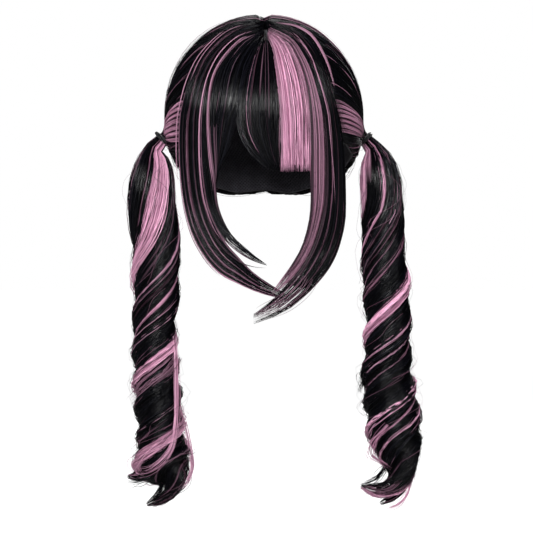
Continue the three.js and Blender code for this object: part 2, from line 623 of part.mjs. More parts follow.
// A tail's rings, with the straight length inside the tie before them
function tailRings(side, tail, profile, pinkStart) {
  const { centre, axis } = tieFrame(side);
  const end = centre.clone().addScaledVector(axis, BUNDLE_HALF);
  const beyond = end.clone().addScaledVector(axis, BUNDLE_HALF / 2);
  const path = new THREE.CatmullRomCurve3([end, beyond, ...middleLine(side, tail)]);
  const girth = BUNDLE_RADIUS / TAIL_RADIUS;
  const rows = [{ girth, turn: 0 }, { girth: 1.1 * girth, turn: 0 }, ...tail];
  const rings = ringsAlong(path, rows, TAIL_RINGS, profile, pinkStart);
  const inTie = rings[0].map((point) => point.clone().addScaledVector(axis, SEAT_GAP / 2 - BUNDLE_HALF));
  return [inTie, ...rings];
}

const lobed = (angle, share) => 1 + LOBE * smoothstep(share, 0.1, 0.5) * Math.cos(radians(3 * angle));

// The black hair of a tail, with a groove for its pink lock
function tailBody(side, tail, pinkStart) {
  const profile = (share, girth) => {
    const seam = THREE.MathUtils.radToDeg(Math.min(FIT_GAP / girth, 0.2));
    const flank = PINK_HALF_ANGLE + seam;
    const outer = 11;
    const around = Array.from({ length: outer }, (unused, i) => lerp(flank, 360 - flank, i / (outer - 1)));
    const arc = around.map((angle) => [angle, lobed(angle, share)]);
    return [...arc, [-flank, 1 - PINK_DEPTH], [0, 1 - PINK_DEPTH], [flank, 1 - PINK_DEPTH]];
  };
  const rings = tailRings(side, tail, profile, pinkStart);
  return loft(rings, centreOf(rings[0]), centreOf(rings.at(-1)));
}

// The pink lock that winds round a tail in its groove. grown: how much larger than the lock on every side.
function tailPink(side, tail, pinkStart, grown = 0) {
  const profile = (share, girth) => {
    const seam = THREE.MathUtils.radToDeg(Math.min((FIT_GAP - grown) / girth, 0.2));
    const flank = PINK_HALF_ANGLE - seam;
    const floor = 1 - PINK_DEPTH + Math.min((2 * FIT_GAP - grown) / girth, PINK_DEPTH * 0.5);
    const arc = [1, 0.4, -0.4, -1].map((part) => [part * flank, lobed(part * flank, share) + grown / girth]);
    return [...arc, [-flank, floor], [0, floor], [flank, floor]];
  };
  const rings = tailRings(side, tail, profile, pinkStart).slice(0, PINK_RINGS + (grown > 0));
  return loft(rings, centreOf(rings[0]), centreOf(rings.at(-1)));
}

// The shorter curl that leaves a tail above its tip
function tailCurl(side, rows) {
  const path = new THREE.CatmullRomCurve3(middleLine(side, rows));
  const round = () => Array.from({ length: 8 }, (unused, i) => [i * 45, 1]);
  const rings = ringsAlong(path, rows, 9, round, 0);
  return loft(rings, centreOf(rings[0]), centreOf(rings.at(-1)));
}

// A tail's black hair with its shorter curl, which keeps clear of the pink lock
function tail(side, rows, curl, pinkStart) {
  const clear = solidOf(tailPink(side, rows, pinkStart, 2 * FIT_GAP));
  const curlClear = solidOf(tailCurl(side, curl)).subtract(clear);
  return geometryOf(solidOf(tailBody(side, rows, pinkStart)).add(curlClear));
}

place("wig_cap", cap(), NET);

const sides = [
  ["left", -1, LOCK_LEFT_OUTER, TAIL_LEFT, CURL_LEFT, PINK_START_LEFT],
  ["right", 1, LOCK_RIGHT_OUTER, TAIL_RIGHT, CURL_RIGHT, PINK_START_RIGHT],
];
for (const [name, side, lockEdge, rows, curl, start] of sides) {
  const combed = crown(side, lockEdge);
  place(`crown_hair_${name}`, combed.geometry, BLACK);
  place(`temple_strand_${name}`, templeStrand(combed.lanes), PINK);
  place(`hair_tie_${name}`, hairTie(side), ELASTIC);
  place(`tail_${name}`, tail(side, rows, curl, start), BLACK);
  place(`tail_pink_lock_${name}`, tailPink(side, rows, start), PINK);
}

const frontPieces = [
  ["face_lock_left", BLACK, { outer: LOCK_LEFT_OUTER, inner: LOCK_LEFT_INNER, stations: 22, points: 7,
    thickness: LOCK_THICKNESS, sink: 7 }],
  ["cheek_lock_left", BLACK, { outer: CHEEK_LEFT_OUTER, inner: CHEEK_LEFT_INNER, stations: 18, points: 4,
    thickness: CHEEK_THICKNESS, sink: 1 }],
  ["fringe_left", BLACK, { outer: CHEEK_LEFT_INNER, inner: FRINGE_LEFT_INNER, until: 0.6, stations: 14,
    points: 6, thickness: FRINGE_THICKNESS }],
  ["fringe_centre", BLACK, { outer: FRINGE_CENTRE_LEFT, inner: FRINGE_CENTRE_RIGHT, stations: 15, points: 7,
    thickness: FRINGE_THICKNESS, tip: 0.6 }],
  ["fringe_pink", PINK, { outer: FRINGE_PINK_LEFT, inner: FRINGE_PINK_RIGHT, stations: 14, points: 7,
    thickness: FRINGE_THICKNESS, tip: 0.6 }],
  ["cheek_lock_right", PINK, { outer: CHEEK_RIGHT_INNER, inner: CHEEK_RIGHT_OUTER, stations: 18, points: 4,
    thickness: CHEEK_THICKNESS }],
  ["face_lock_right", BLACK, { outer: LOCK_RIGHT_INNER, inner: LOCK_RIGHT_OUTER, stations: 24, points: 7,
    thickness: LOCK_THICKNESS }],
];
for (const [name, finish, shape] of frontPieces) place(name, frontHair(shape), finish);

export default wig;
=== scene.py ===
"""Looks of the twin-tail wig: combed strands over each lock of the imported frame, a net cap and braided ties."""

import math

import bpy
import numpy as np
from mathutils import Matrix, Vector


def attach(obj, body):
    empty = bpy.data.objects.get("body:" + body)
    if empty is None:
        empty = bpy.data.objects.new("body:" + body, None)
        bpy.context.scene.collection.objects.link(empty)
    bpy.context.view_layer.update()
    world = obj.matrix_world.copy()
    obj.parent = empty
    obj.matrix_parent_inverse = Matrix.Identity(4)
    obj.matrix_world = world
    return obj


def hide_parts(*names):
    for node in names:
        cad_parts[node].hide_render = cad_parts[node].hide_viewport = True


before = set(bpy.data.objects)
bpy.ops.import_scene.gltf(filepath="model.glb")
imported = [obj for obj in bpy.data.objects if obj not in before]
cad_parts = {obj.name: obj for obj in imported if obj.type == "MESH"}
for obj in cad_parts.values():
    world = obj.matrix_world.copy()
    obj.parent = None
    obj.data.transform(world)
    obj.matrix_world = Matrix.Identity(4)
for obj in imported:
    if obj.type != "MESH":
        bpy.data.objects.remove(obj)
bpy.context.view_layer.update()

# The forms are worked out in millimetres, as the CAD is, and become metres when a mesh is made.
MM = 0.001
BODY = "root"

# The head that the wig fits
HEAD_BREADTH = 164
HEAD_LENGTH = 192
HEAD_CROWN = 87
HEAD_REACH = 130
HEAD_HALVES = np.array([HEAD_BREADTH / 2, HEAD_LENGTH / 2])

# The cap and the layers of hair on it
CAP_WALL = 1.5
CAP_DEPTH = 150
SEAT_GAP = 0.9
ROOT_GAP = 0.4
SIDE_LAYER = 9
TOP_LAYER = 11
RIM_LAYER = 5.4
RIM_ROUNDING = 15
PART_LAYER = 7.4
PART_OFFSET = 0.2
PART_END = 38

# The hair that hangs round the face
DRAPE_REACH = 223
LOCK_DROP = 188
LOCK_THICKNESS = 6.4
CHEEK_THICKNESS = 4.6
FRINGE_THICKNESS = 6.2
ROOT_SHARE = 0.15
SECTION_FALL = 0.8
COMBED_FALL = 0.45

# The hair that is combed to the ties
TEMPLE_TOP = 0.21
TEMPLE_THICKNESS = 4
NECK_SPREAD = 18
TIE_DROP = 103
TIE_BACK = 12
TIE_STANDOFF = 13
TIE_SLOPE = 45
TIE_CORD = 2.4
BUNDLE_RADIUS = 5
BUNDLE_HALF = 3.8
FIT_GAP = 0.6
TURN_WEIGHT = 30

# The tails
TAIL_LENGTH = 337
TAIL_RADIUS = 22
LOBE = 0.09
TAIL_BODY = 0.94
PINK_HALF_ANGLE = 25
PINK_START_LEFT = 28
PINK_START_RIGHT = -100

# Edges between the locks as in the CAD source. Columns: across, level.
LOCK_LEFT_OUTER = np.array([
    [0.0, 0.925], [-0.2, 0.892], [-0.38, 0.815], [-0.52, 0.705], [-0.655, 0.55], [-0.76, 0.335],
    [-0.83, 0.095], [-0.86, -0.08], [-0.855, -0.24], [-0.825, -0.39], [-0.77, -0.51], [-0.695, -0.605],
    [-0.58, -0.7], [-0.445, -0.77], [-0.3, -0.812], [-0.14, -0.852], [0.03, -0.882], [0.25, -0.91],
])
LOCK_LEFT_INNER = np.array([
    [0.0, 0.845], [-0.14, 0.8], [-0.275, 0.735], [-0.415, 0.61], [-0.51, 0.46], [-0.57, 0.305],
    [-0.61, 0.11], [-0.63, -0.06], [-0.625, -0.225], [-0.6, -0.345], [-0.565, -0.425], [-0.515, -0.5],
    [-0.455, -0.573], [-0.375, -0.64], [-0.285, -0.69], [-0.14, -0.762], [0.03, -0.823], [0.255, -0.885],
])
CHEEK_LEFT_OUTER = np.vstack([
    LOCK_LEFT_INNER[:11],
    [[-0.49, -0.525], [-0.4, -0.59], [-0.31, -0.632], [-0.2, -0.668], [-0.09, -0.695], [0.03, -0.716]],
])
CHEEK_LEFT_INNER = np.array([
    [0.0, 0.805], [-0.12, 0.765], [-0.235, 0.715], [-0.375, 0.58], [-0.47, 0.44], [-0.52, 0.3],
    [-0.545, 0.11], [-0.55, -0.06], [-0.525, -0.205], [-0.495, -0.3], [-0.48, -0.395],
    [-0.445, -0.46], [-0.385, -0.525], [-0.305, -0.582], [-0.19, -0.632], [-0.085, -0.675], [0.03, -0.71],
])
FRINGE_LEFT_INNER = np.array([
    [0.0, 0.775], [-0.06, 0.715], [-0.118, 0.63], [-0.165, 0.54], [-0.198, 0.46], [-0.245, 0.26],
    [-0.28, 0.055], [-0.335, -0.065], [-0.39, -0.16], [-0.45, -0.245], [-0.475, -0.31],
])
FRINGE_CENTRE_LEFT = np.array([
    [0.012, 0.765], [-0.095, 0.63], [-0.176, 0.46], [-0.228, 0.26], [-0.256, 0.075],
    [-0.243, -0.05], [-0.165, -0.14], [-0.05, -0.21], [0.08, -0.255],
])
FRINGE_CENTRE_RIGHT = np.array([
    [0.022, 0.762], [0.079, 0.65], [0.118, 0.46], [0.146, 0.24], [0.163, 0.03],
    [0.168, -0.05], [0.17, -0.13], [0.17, -0.2], [0.168, -0.262],
])
FRINGE_PINK_LEFT = np.array([
    [0.034, 0.765], [0.079, 0.65], [0.118, 0.46], [0.146, 0.24], [0.163, 0.03],
    [0.168, -0.05], [0.17, -0.13], [0.17, -0.2], [0.17, -0.266],
])
FRINGE_PINK_RIGHT = np.array([
    [0.04, 0.805], [0.228, 0.715], [0.325, 0.57], [0.395, 0.41], [0.442, 0.225],
    [0.47, 0.015], [0.478, -0.1], [0.481, -0.19], [0.481, -0.262],
])
CHEEK_RIGHT_INNER = np.array([
    [0.04, 0.805], [0.228, 0.715], [0.325, 0.57], [0.395, 0.41], [0.442, 0.225], [0.47, 0.015],
    [0.481, -0.134], [0.481, -0.262], [0.48, -0.404], [0.459, -0.502], [0.395, -0.613], [0.3, -0.698],
    [0.19, -0.775], [0.08, -0.842],
])
CHEEK_RIGHT_OUTER = np.array([
    [0.04, 0.845], [0.268, 0.735], [0.38, 0.592], [0.463, 0.43], [0.52, 0.265], [0.566, 0.1],
    [0.6, -0.1], [0.605, -0.27], [0.595, -0.404], [0.56, -0.502], [0.49, -0.613], [0.38, -0.71],
    [0.235, -0.792], [0.09, -0.855],
])
LOCK_RIGHT_INNER = np.array([
    [0.04, 0.845], [0.268, 0.735], [0.38, 0.592], [0.463, 0.43], [0.52, 0.265], [0.566, 0.1],
    [0.597, -0.036], [0.605, -0.16], [0.605, -0.293], [0.597, -0.403], [0.562, -0.502], [0.493, -0.613],
    [0.414, -0.69], [0.326, -0.757], [0.208, -0.824], [0.08, -0.886], [-0.11, -0.955],
])
LOCK_RIGHT_OUTER = np.array([
    [0.03, 0.925], [0.19, 0.9], [0.327, 0.852], [0.443, 0.776], [0.526, 0.665], [0.614, 0.492], [0.682, 0.3],
    [0.746, 0.053], [0.797, -0.081], [0.819, -0.2], [0.834, -0.357], [0.831, -0.499], [0.775, -0.62],
    [0.69, -0.71], [0.575, -0.785], [0.42, -0.86], [0.2, -0.94], [-0.11, -1.0],
])

# The cap's lower edge. Columns: azimuth from the forehead in degrees, share of the cap's depth.
CAP_EDGE = np.array([
    [0, 0.34], [25, 0.38], [40, 0.5], [52, 0.66], [62, 0.725], [78, 0.775], [98, 0.805], [115, 0.87],
    [138, 0.965], [160, 1.0], [180, 0.985],
])

# Middle lines of the tails and their shorter curls. Columns: drop, sway, aft, girth, turn.
TAIL_LEFT = np.array([
    [0.027, -0.36, 0.0, 0.36, 0.0], [0.047, -0.4, 0.0, 0.57, 0.0], [0.072, -0.39, 0.0, 0.75, 0.0],
    [0.123, -0.42, 0.0, 0.93, 0.015], [0.19, -0.43, 0.0, 1.0, 0.045], [0.25, -0.35, 0.0, 0.99, 0.09],
    [0.32, -0.26, 0.0, 0.95, 0.2], [0.4, -0.27, 0.0, 0.93, 0.4], [0.48, -0.32, 0.0, 0.87, 0.6],
    [0.56, -0.36, 0.0, 0.86, 0.88], [0.635, -0.27, 0.0, 0.9, 1.2], [0.705, -0.21, 0.0, 0.96, 1.52],
    [0.77, -0.12, 0.0, 0.93, 1.81], [0.812, -0.05, -0.03, 0.96, 2.0], [0.847, -0.02, -0.05, 1.08, 2.16],
    [0.877, 0.02, -0.08, 1.14, 2.3], [0.903, 0.14, -0.12, 1.0, 2.42], [0.927, 0.32, -0.2, 0.72, 2.52],
    [0.95, 0.36, -0.28, 0.48, 2.6], [0.973, 0.12, -0.34, 0.3, 2.65], [0.99, -0.25, -0.34, 0.17, 2.68],
    [1.0, -0.65, -0.33, 0.05, 2.7],
])
TAIL_RIGHT = np.array([
    [0.027, 0.35, 0.0, 0.35, 0.0], [0.047, 0.45, 0.0, 0.56, 0.0], [0.072, 0.54, 0.0, 0.72, 0.0],
    [0.123, 0.67, 0.0, 0.83, 0.01], [0.186, 0.74, 0.0, 0.85, 0.035], [0.247, 0.72, 0.0, 0.87, 0.12],
    [0.315, 0.77, 0.0, 0.88, 0.28], [0.384, 0.83, 0.0, 0.94, 0.47], [0.44, 0.9, 0.0, 0.93, 0.63],
    [0.515, 0.94, 0.0, 0.91, 0.88], [0.592, 0.92, 0.0, 0.96, 1.15], [0.66, 0.92, 0.0, 1.04, 1.42],
    [0.712, 1.05, 0.0, 1.1, 1.65], [0.756, 1.15, 0.0, 1.1, 1.82], [0.803, 1.23, 0.0, 1.08, 2.0],
    [0.847, 1.34, -0.05, 0.98, 2.15], [0.885, 1.5, -0.1, 0.74, 2.28], [0.92, 1.48, -0.2, 0.52, 2.4],
    [0.945, 1.2, -0.3, 0.38, 2.48], [0.96, 0.75, -0.35, 0.28, 2.54], [0.96, 0.25, -0.35, 0.18, 2.58],
    [0.95, -0.2, -0.3, 0.06, 2.6],
])
CURL_LEFT = np.array([
    [0.862, 0.1, 0.0, 0.4, 0.0], [0.892, -0.32, -0.05, 0.42, 0.05], [0.911, -0.72, -0.08, 0.34, 0.1],
    [0.921, -1.02, -0.1, 0.24, 0.15], [0.925, -1.25, -0.1, 0.14, 0.2], [0.924, -1.48, -0.1, 0.05, 0.25],
])
CURL_RIGHT = np.array([
    [0.85, 1.45, 0.2, 0.45, 0.0], [0.91, 1.6, 0.35, 0.36, 0.05], [0.955, 1.45, 0.4, 0.26, 0.1],
    [0.985, 1.05, 0.3, 0.16, 0.15], [1.0, 0.6, 0.15, 0.05, 0.2],
])
DROP, SWAY, AFT, GIRTH, TURN = range(5)


# Shapes of the head and the hair on it

def unit(vectors):
    return vectors / np.maximum(np.linalg.norm(vectors, axis=-1, keepdims=True), 1e-9)


def smoothstep(value, low, high):
    share = np.clip((value - low) / (high - low), 0, 1)
    return share * share * (3 - 2 * share)


def lerp(a, b, share):
    return a + (b - a) * share


def hair_layer(direction):
    """Height of the hair's outside above the head."""
    return SIDE_LAYER + (TOP_LAYER - SIDE_LAYER) * np.maximum(direction[..., 2], 0)


def shell_point(direction, layer, reach):
    """The point that is `layer` outside the head in a direction from the head's middle."""
    half = np.where(direction[..., 2] > 0, HEAD_CROWN, reach)
    layer = np.broadcast_to(layer, half.shape)
    return np.stack([
        direction[..., 0] * (HEAD_HALVES[0] + layer),
        direction[..., 1] * (HEAD_HALVES[1] + layer),
        direction[..., 2] * (half + layer) - HEAD_CROWN,
    ], axis=-1)


def shell_direction(point, layer, reach):
    height = point[..., 2] + HEAD_CROWN
    half = np.where(height > 0, HEAD_CROWN, reach)
    return unit(np.stack([
        point[..., 0] / (HEAD_HALVES[0] + layer),
        point[..., 1] / (HEAD_HALVES[1] + layer),
        height / (half + layer),
    ], axis=-1))


def shell_normal(direction, reach):
    """The way out of the shell there."""
    half = np.where(direction[..., 2] > 0, HEAD_CROWN, reach)
    return unit(np.stack([
        direction[..., 0] / HEAD_HALVES[0],
        direction[..., 1] / HEAD_HALVES[1],
        direction[..., 2] / half,
    ], axis=-1))


def front_direction(place):
    """The direction of a place in the front view, which an edge's row gives."""
    across, level = place[..., 0], place[..., 1]
    up = np.where(level > 0, level, level * LOCK_DROP / (DRAPE_REACH + SIDE_LAYER))
    forward = np.sqrt(np.maximum(0, 1 - across**2 - up**2))
    return np.stack([across, -forward, up], axis=-1)


def spline(rows, share):
    """A smooth curve through the rows. Its parameter runs evenly over them."""
    last = len(rows) - 1
    place = np.clip(share, 0, 1) * last
    i = np.minimum(place.astype(int), last - 1)
    t = (place - i)[..., None]
    before, a, b, after = rows[np.maximum(i - 1, 0)], rows[i], rows[i + 1], rows[np.minimum(i + 2, last)]
    va, vb = (b - before) / 2, (after - a) / 2
    return (2 * a - 2 * b + va + vb) * t**3 + (-3 * a + 3 * b - 2 * va - vb) * t**2 + va * t + a


def turned(start, end, share):
    """The direction at a share of the shortest way from one direction to another."""
    whole = np.arccos(np.clip(np.sum(start * end, axis=-1), -1, 1))[..., None]
    share = np.asarray(share)[..., None]
    safe = np.maximum(np.sin(whole), 1e-9)
    return (np.sin((1 - share) * whole) * start + np.sin(share * whole) * end) / safe


def cap_edge_direction(azimuth):
    """The direction on the cap's lower edge at an azimuth in degrees from the forehead towards +X."""
    azimuth = np.asarray(azimuth, float)
    away = np.abs((azimuth + 180) % 360 - 180)
    i = np.clip(np.searchsorted(CAP_EDGE[:, 0], away, side="right") - 1, 0, len(CAP_EDGE) - 2)
    share = (away - CAP_EDGE[i, 0]) / (CAP_EDGE[i + 1, 0] - CAP_EDGE[i, 0])
    depth = lerp(CAP_EDGE[i, 1], CAP_EDGE[i + 1, 1], share * share * (3 - 2 * share)) * CAP_DEPTH
    height = HEAD_CROWN - depth
    up = height / np.where(height > 0, HEAD_CROWN, HEAD_REACH)
    level = np.sqrt(1 - up**2)
    turn = np.radians(azimuth)
    return np.stack([np.sin(turn) * level, -np.cos(turn) * level, up], axis=-1)


# Meshes

def ripple(x, seed, waves=7, lowest=1.0, highest=9.0):
    """A smooth random curve between about -1 and 1."""
    draw = np.random.default_rng(seed)
    rates = draw.uniform(lowest, highest, waves)
    phases = draw.uniform(0, 2 * np.pi, waves)
    x = np.asarray(x)[..., None]
    return np.sum(np.sin(2 * np.pi * rates * x + phases), axis=-1) / math.sqrt(waves)


def clump_tone(draw, waves):
    """How light each strand is: alike within a clump, with some chance."""
    return np.clip(0.42 + 0.38 * waves + draw.uniform(-0.28, 0.28, len(waves)), 0, 1.1)


def mesh_object(name, verts, quads, tris, values, uv):
    """A mesh from arrays. values: numbers per vertex by name. uv: a place per vertex."""
    mesh = bpy.data.meshes.new(name)
    mesh.vertices.add(len(verts))
    mesh.vertices.foreach_set("co", (verts * MM).astype(np.float32).ravel())
    corners = np.concatenate([quads.ravel(), tris.ravel()]).astype(np.int32)
    starts = np.concatenate([
        np.arange(len(quads)) * 4,
        len(quads) * 4 + np.arange(len(tris)) * 3,
    ]).astype(np.int32)
    mesh.loops.add(len(corners))
    mesh.loops.foreach_set("vertex_index", corners)
    mesh.polygons.add(len(starts))
    mesh.polygons.foreach_set("loop_start", starts)
    mesh.update(calc_edges=True)
    mesh.polygons.foreach_set("use_smooth", np.ones(len(starts), bool))
    layer = mesh.uv_layers.new(name="OFBake")
    layer.data.foreach_set("uv", uv[corners].astype(np.float32).ravel())
    for key, value in values.items():
        mesh.attributes.new(key, "FLOAT", "POINT").data.foreach_set("value", value.astype(np.float32))
    piece = bpy.data.objects.new(name, mesh)
    bpy.context.scene.collection.objects.link(piece)
    return piece


class Build:
    """Gathers the closed tubes and lofts of one piece."""

    def __init__(self):
        self.verts, self.quads, self.tris, self.uv, self.pink, self.tone = [], [], [], [], [], []
        self.count = 0

    def add(self, verts, quads, tris, uv, pink, tone):
        self.verts.append(verts)
        self.quads.append(quads + self.count)
        self.tris.append(tris + self.count)
        self.uv.append(uv)
        self.pink.append(pink)
        self.tone.append(tone)
        self.count += len(verts)

    def loft(self, rings, pink, tone):
        """A closed solid through rings, with shape (stations, around, 3)."""
        stations, around = rings.shape[:2]
        ids = np.arange(stations * around).reshape(stations, around)
        right = np.roll(ids, -1, axis=1)
        quads = np.stack([ids[:-1], right[:-1], right[1:], ids[1:]], axis=-1).reshape(-1, 4)
        first, last = stations * around, stations * around + 1
        tris = np.concatenate([
            np.stack([right[0], ids[0], np.full(around, first)], axis=-1),
            np.stack([ids[-1], right[-1], np.full(around, last)], axis=-1),
        ])
        ends = np.stack([rings[0].mean(axis=0), rings[-1].mean(axis=0)])
        verts = np.concatenate([rings.reshape(-1, 3), ends])
        if signed_volume(verts, quads, tris) < 0:
            quads, tris = quads[:, ::-1], tris[:, ::-1]
        girth = np.cumsum(np.linalg.norm(rings - np.roll(rings, 1, axis=1), axis=-1), axis=1)
        along = np.cumsum(np.linalg.norm(np.diff(rings, axis=0, prepend=rings[:1]), axis=-1), axis=0)
        uv = np.stack([girth, along], axis=-1).reshape(-1, 2) * MM
        uv = np.concatenate([uv, uv[:1], uv[-1:]])
        pad = lambda value: np.concatenate([value.ravel(), value.ravel()[:1], value.ravel()[-1:]])
        self.add(verts, quads, tris, uv, pad(pink), pad(tone))

    def strands(self, paths, normals, widths, pink, tone, flat=0.6):
        """Closed three-sided tubes along paths, with shape (strands, points, 3)."""
        number, points = paths.shape[:2]
        tangent = unit(np.gradient(paths, axis=1))
        side = unit(np.cross(tangent, normals))
        lift = np.cross(side, tangent)
        corners = []
        for angle in (90, 210, 330):
            turn = math.radians(angle)
            reach = widths[..., None] / 2
            corners.append(paths + side * math.cos(turn) * reach + lift * math.sin(turn) * reach * flat)
        verts = np.stack(corners, axis=2)
        ids = np.arange(number * points * 3).reshape(number, points, 3)
        right = np.roll(ids, -1, axis=2)
        quads = np.stack([ids[:, :-1], ids[:, 1:], right[:, 1:], right[:, :-1]], axis=-1).reshape(-1, 4)
        tris = np.concatenate([ids[:, 0], ids[:, -1, ::-1]])
        if signed_volume(verts[0].reshape(-1, 3), quads[: 3 * (points - 1)], tris[:0]) < 0:
            quads, tris = quads[:, ::-1], tris[:, ::-1]
        along = np.cumsum(np.linalg.norm(np.diff(paths, axis=1, prepend=paths[:, :1]), axis=-1), axis=1)
        across = np.arange(number)[:, None, None] * 1.7 + np.arange(3)[None, None, :] * 0.5
        uv = np.stack(np.broadcast_arrays(across, along[..., None]), axis=-1).reshape(-1, 2) * MM
        spread = lambda value: np.broadcast_to(np.asarray(value)[..., None], (number, points, 3)).ravel()
        self.add(verts.reshape(-1, 3), quads, tris, uv, spread(pink), spread(tone))

    def finish(self, name, material, slot, *nodes):
        verts = np.concatenate(self.verts)
        values = {"pink": np.concatenate(self.pink), "tone": np.concatenate(self.tone)}
        tris = np.concatenate(self.tris).astype(int).reshape(-1, 3)
        piece = mesh_object(name, verts, np.concatenate(self.quads), tris, values, np.concatenate(self.uv))
        piece.data.materials.append(material)
        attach(piece, BODY)
        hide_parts(*nodes)
        return piece


def signed_volume(verts, quads, tris):
    whole = np.concatenate([quads[:, [0, 1, 2]], quads[:, [0, 2, 3]], tris])
    a, b, c = verts[whole[:, 0]], verts[whole[:, 1]], verts[whole[:, 2]]
    return np.sum(a * np.cross(b, c))


# Materials

def node_maker(material):
    tree = material.node_tree
    tree.nodes.clear()

    def make(kind, inputs=None, **settings):
        node = tree.nodes.new(kind)
        for key, value in settings.items():
            setattr(node, key, value)
        for key, value in (inputs or {}).items():
            if isinstance(value, bpy.types.NodeSocket):
                tree.links.new(value, node.inputs[key])
            else:
                node.inputs[key].default_value = value
        return node

    return make


def linear(red, green, blue):
    """A colour given in sRGB bytes, as the shader's linear values."""
    return tuple(((c / 255 + 0.055) / 1.055) ** 2.4 if c > 10 else c / 255 / 12.92 for c in (red, green, blue)) + (1,)


def hair_material(name, dark, light, pink_dark, pink_light, roughness):
    material = bpy.data.materials.new(name)
    material.use_nodes = True
    make = node_maker(material)
    uv = make("ShaderNodeUVMap", uv_map="OFBake")
    stretch = make("ShaderNodeMapping", {"Vector": uv.outputs[0], "Scale": (1400, 14, 1)})
    fine = make("ShaderNodeTexNoise", {"Vector": stretch.outputs[0], "Scale": 1.0, "Detail": 3.0, "Roughness": 0.6})
    broad_map = make("ShaderNodeMapping", {"Vector": uv.outputs[0], "Scale": (220, 6, 1)})
    broad = make("ShaderNodeTexNoise", {"Vector": broad_map.outputs[0], "Scale": 1.0, "Detail": 2.0})
    tone = make("ShaderNodeAttribute", attribute_name="tone")
    pink = make("ShaderNodeAttribute", attribute_name="pink")
    streak = make("ShaderNodeMath", {0: fine.outputs["Fac"], 1: broad.outputs["Fac"]}, operation="ADD")
    level = make("ShaderNodeMath", {0: streak.outputs[0], 1: tone.outputs["Fac"]}, operation="ADD")
    share = make("ShaderNodeMapRange", {"Value": level.outputs[0], "From Min": 0.75, "From Max": 2.05})
    glint = make("ShaderNodeMath", {0: share.outputs[0], 1: 2.5}, operation="POWER")
    black = make("ShaderNodeMix", {0: glint.outputs[0], 6: dark, 7: light}, data_type="RGBA")
    rose = make("ShaderNodeMix", {0: share.outputs[0], 6: pink_dark, 7: pink_light}, data_type="RGBA")
    colour = make("ShaderNodeMix", {0: pink.outputs["Fac"], 6: black.outputs[2], 7: rose.outputs[2]}, data_type="RGBA")
    rough = make("ShaderNodeMapRange", {
        "Value": fine.outputs["Fac"], "From Min": 0.3, "From Max": 0.7,
        "To Min": roughness - 0.06, "To Max": roughness + 0.1,
    })
    bump = make("ShaderNodeBump", {"Height": fine.outputs["Fac"], "Strength": 0.5, "Distance": 0.0004})
    shader = make("ShaderNodeBsdfPrincipled", {
        "Base Color": colour.outputs[2], "Roughness": rough.outputs[0], "Normal": bump.outputs[0],
        "Specular IOR Level": 0.17,
    })
    make("ShaderNodeOutputMaterial", {"Surface": shader.outputs[0]})
    return material


def net_material():
    material = bpy.data.materials.new("cap_net")
    material.use_nodes = True
    make = node_maker(material)
    uv = make("ShaderNodeUVMap", uv_map="OFBake")
    place = make("ShaderNodeMapping", {"Vector": uv.outputs[0], "Scale": (420, 420, 1), "Rotation": (0, 0, math.pi / 4)})
    across = make("ShaderNodeTexWave", {"Vector": place.outputs[0], "Scale": 0.32}, bands_direction="X")
    down = make("ShaderNodeTexWave", {"Vector": place.outputs[0], "Scale": 0.32}, bands_direction="Y")
    mesh = make("ShaderNodeMath", {0: across.outputs["Fac"], 1: down.outputs["Fac"]}, operation="MAXIMUM")
    cloud = make("ShaderNodeTexNoise", {"Vector": uv.outputs[0], "Scale": 90.0, "Detail": 3.0})
    shade = make("ShaderNodeMath", {0: mesh.outputs[0], 1: cloud.outputs["Fac"]}, operation="MULTIPLY")
    # The net's colours are lighter than the real black net. This is painted light, so the weave still shows inside the
    # cap, where it lies in shade.
    colour = make("ShaderNodeMix", {
        0: shade.outputs[0], 6: linear(30, 29, 33), 7: linear(86, 84, 92),
    }, data_type="RGBA")
    bump = make("ShaderNodeBump", {"Height": mesh.outputs[0], "Strength": 0.7, "Distance": 0.0006})
    shader = make("ShaderNodeBsdfPrincipled", {
        "Base Color": colour.outputs[2], "Roughness": 0.85, "Normal": bump.outputs[0],
        "Sheen Weight": 0.1, "Specular IOR Level": 0.2,
    })
    make("ShaderNodeOutputMaterial", {"Surface": shader.outputs[0]})
    return material


def elastic_material():
    material = bpy.data.materials.new("elastic_braid")
    material.use_nodes = True
    make = node_maker(material)
    uv = make("ShaderNodeUVMap", uv_map="OFBake")
    place = make("ShaderNodeMapping", {"Vector": uv.outputs[0], "Scale": (900, 500, 1), "Rotation": (0, 0, 0.6)})
    rib = make("ShaderNodeTexWave", {"Vector": place.outputs[0], "Scale": 0.6, "Distortion": 0.6})
    cloud = make("ShaderNodeTexNoise", {"Vector": uv.outputs[0], "Scale": 700.0, "Detail": 2.0})
    shade = make("ShaderNodeMath", {0: rib.outputs["Fac"], 1: cloud.outputs["Fac"]}, operation="MULTIPLY")
    colour = make("ShaderNodeMix", {
        0: shade.outputs[0], 6: linear(10, 10, 12), 7: linear(44, 43, 48),
    }, data_type="RGBA")
    bump = make("ShaderNodeBump", {"Height": rib.outputs["Fac"], "Strength": 0.6, "Distance": 0.0004})
    shader = make("ShaderNodeBsdfPrincipled", {
        "Base Color": colour.outputs[2], "Roughness": 0.3, "Normal": bump.outputs[0], "Specular IOR Level": 0.6,
    })
    make("ShaderNodeOutputMaterial", {"Surface": shader.outputs[0]})
    return material


BLACK_DARK = linear(2, 2, 3)
BLACK_LIGHT = linear(20, 20, 27)
PINK_DARK = linear(116, 58, 90)
PINK_LIGHT = linear(240, 182, 211)
black_hair = hair_material("black_fibre", BLACK_DARK, BLACK_LIGHT, PINK_DARK, PINK_LIGHT, 0.2)
pink_hair = hair_material("pink_fibre", BLACK_DARK, BLACK_LIGHT, PINK_DARK, PINK_LIGHT, 0.34)
cap_net = net_material()
braid = elastic_material()


# Front hair

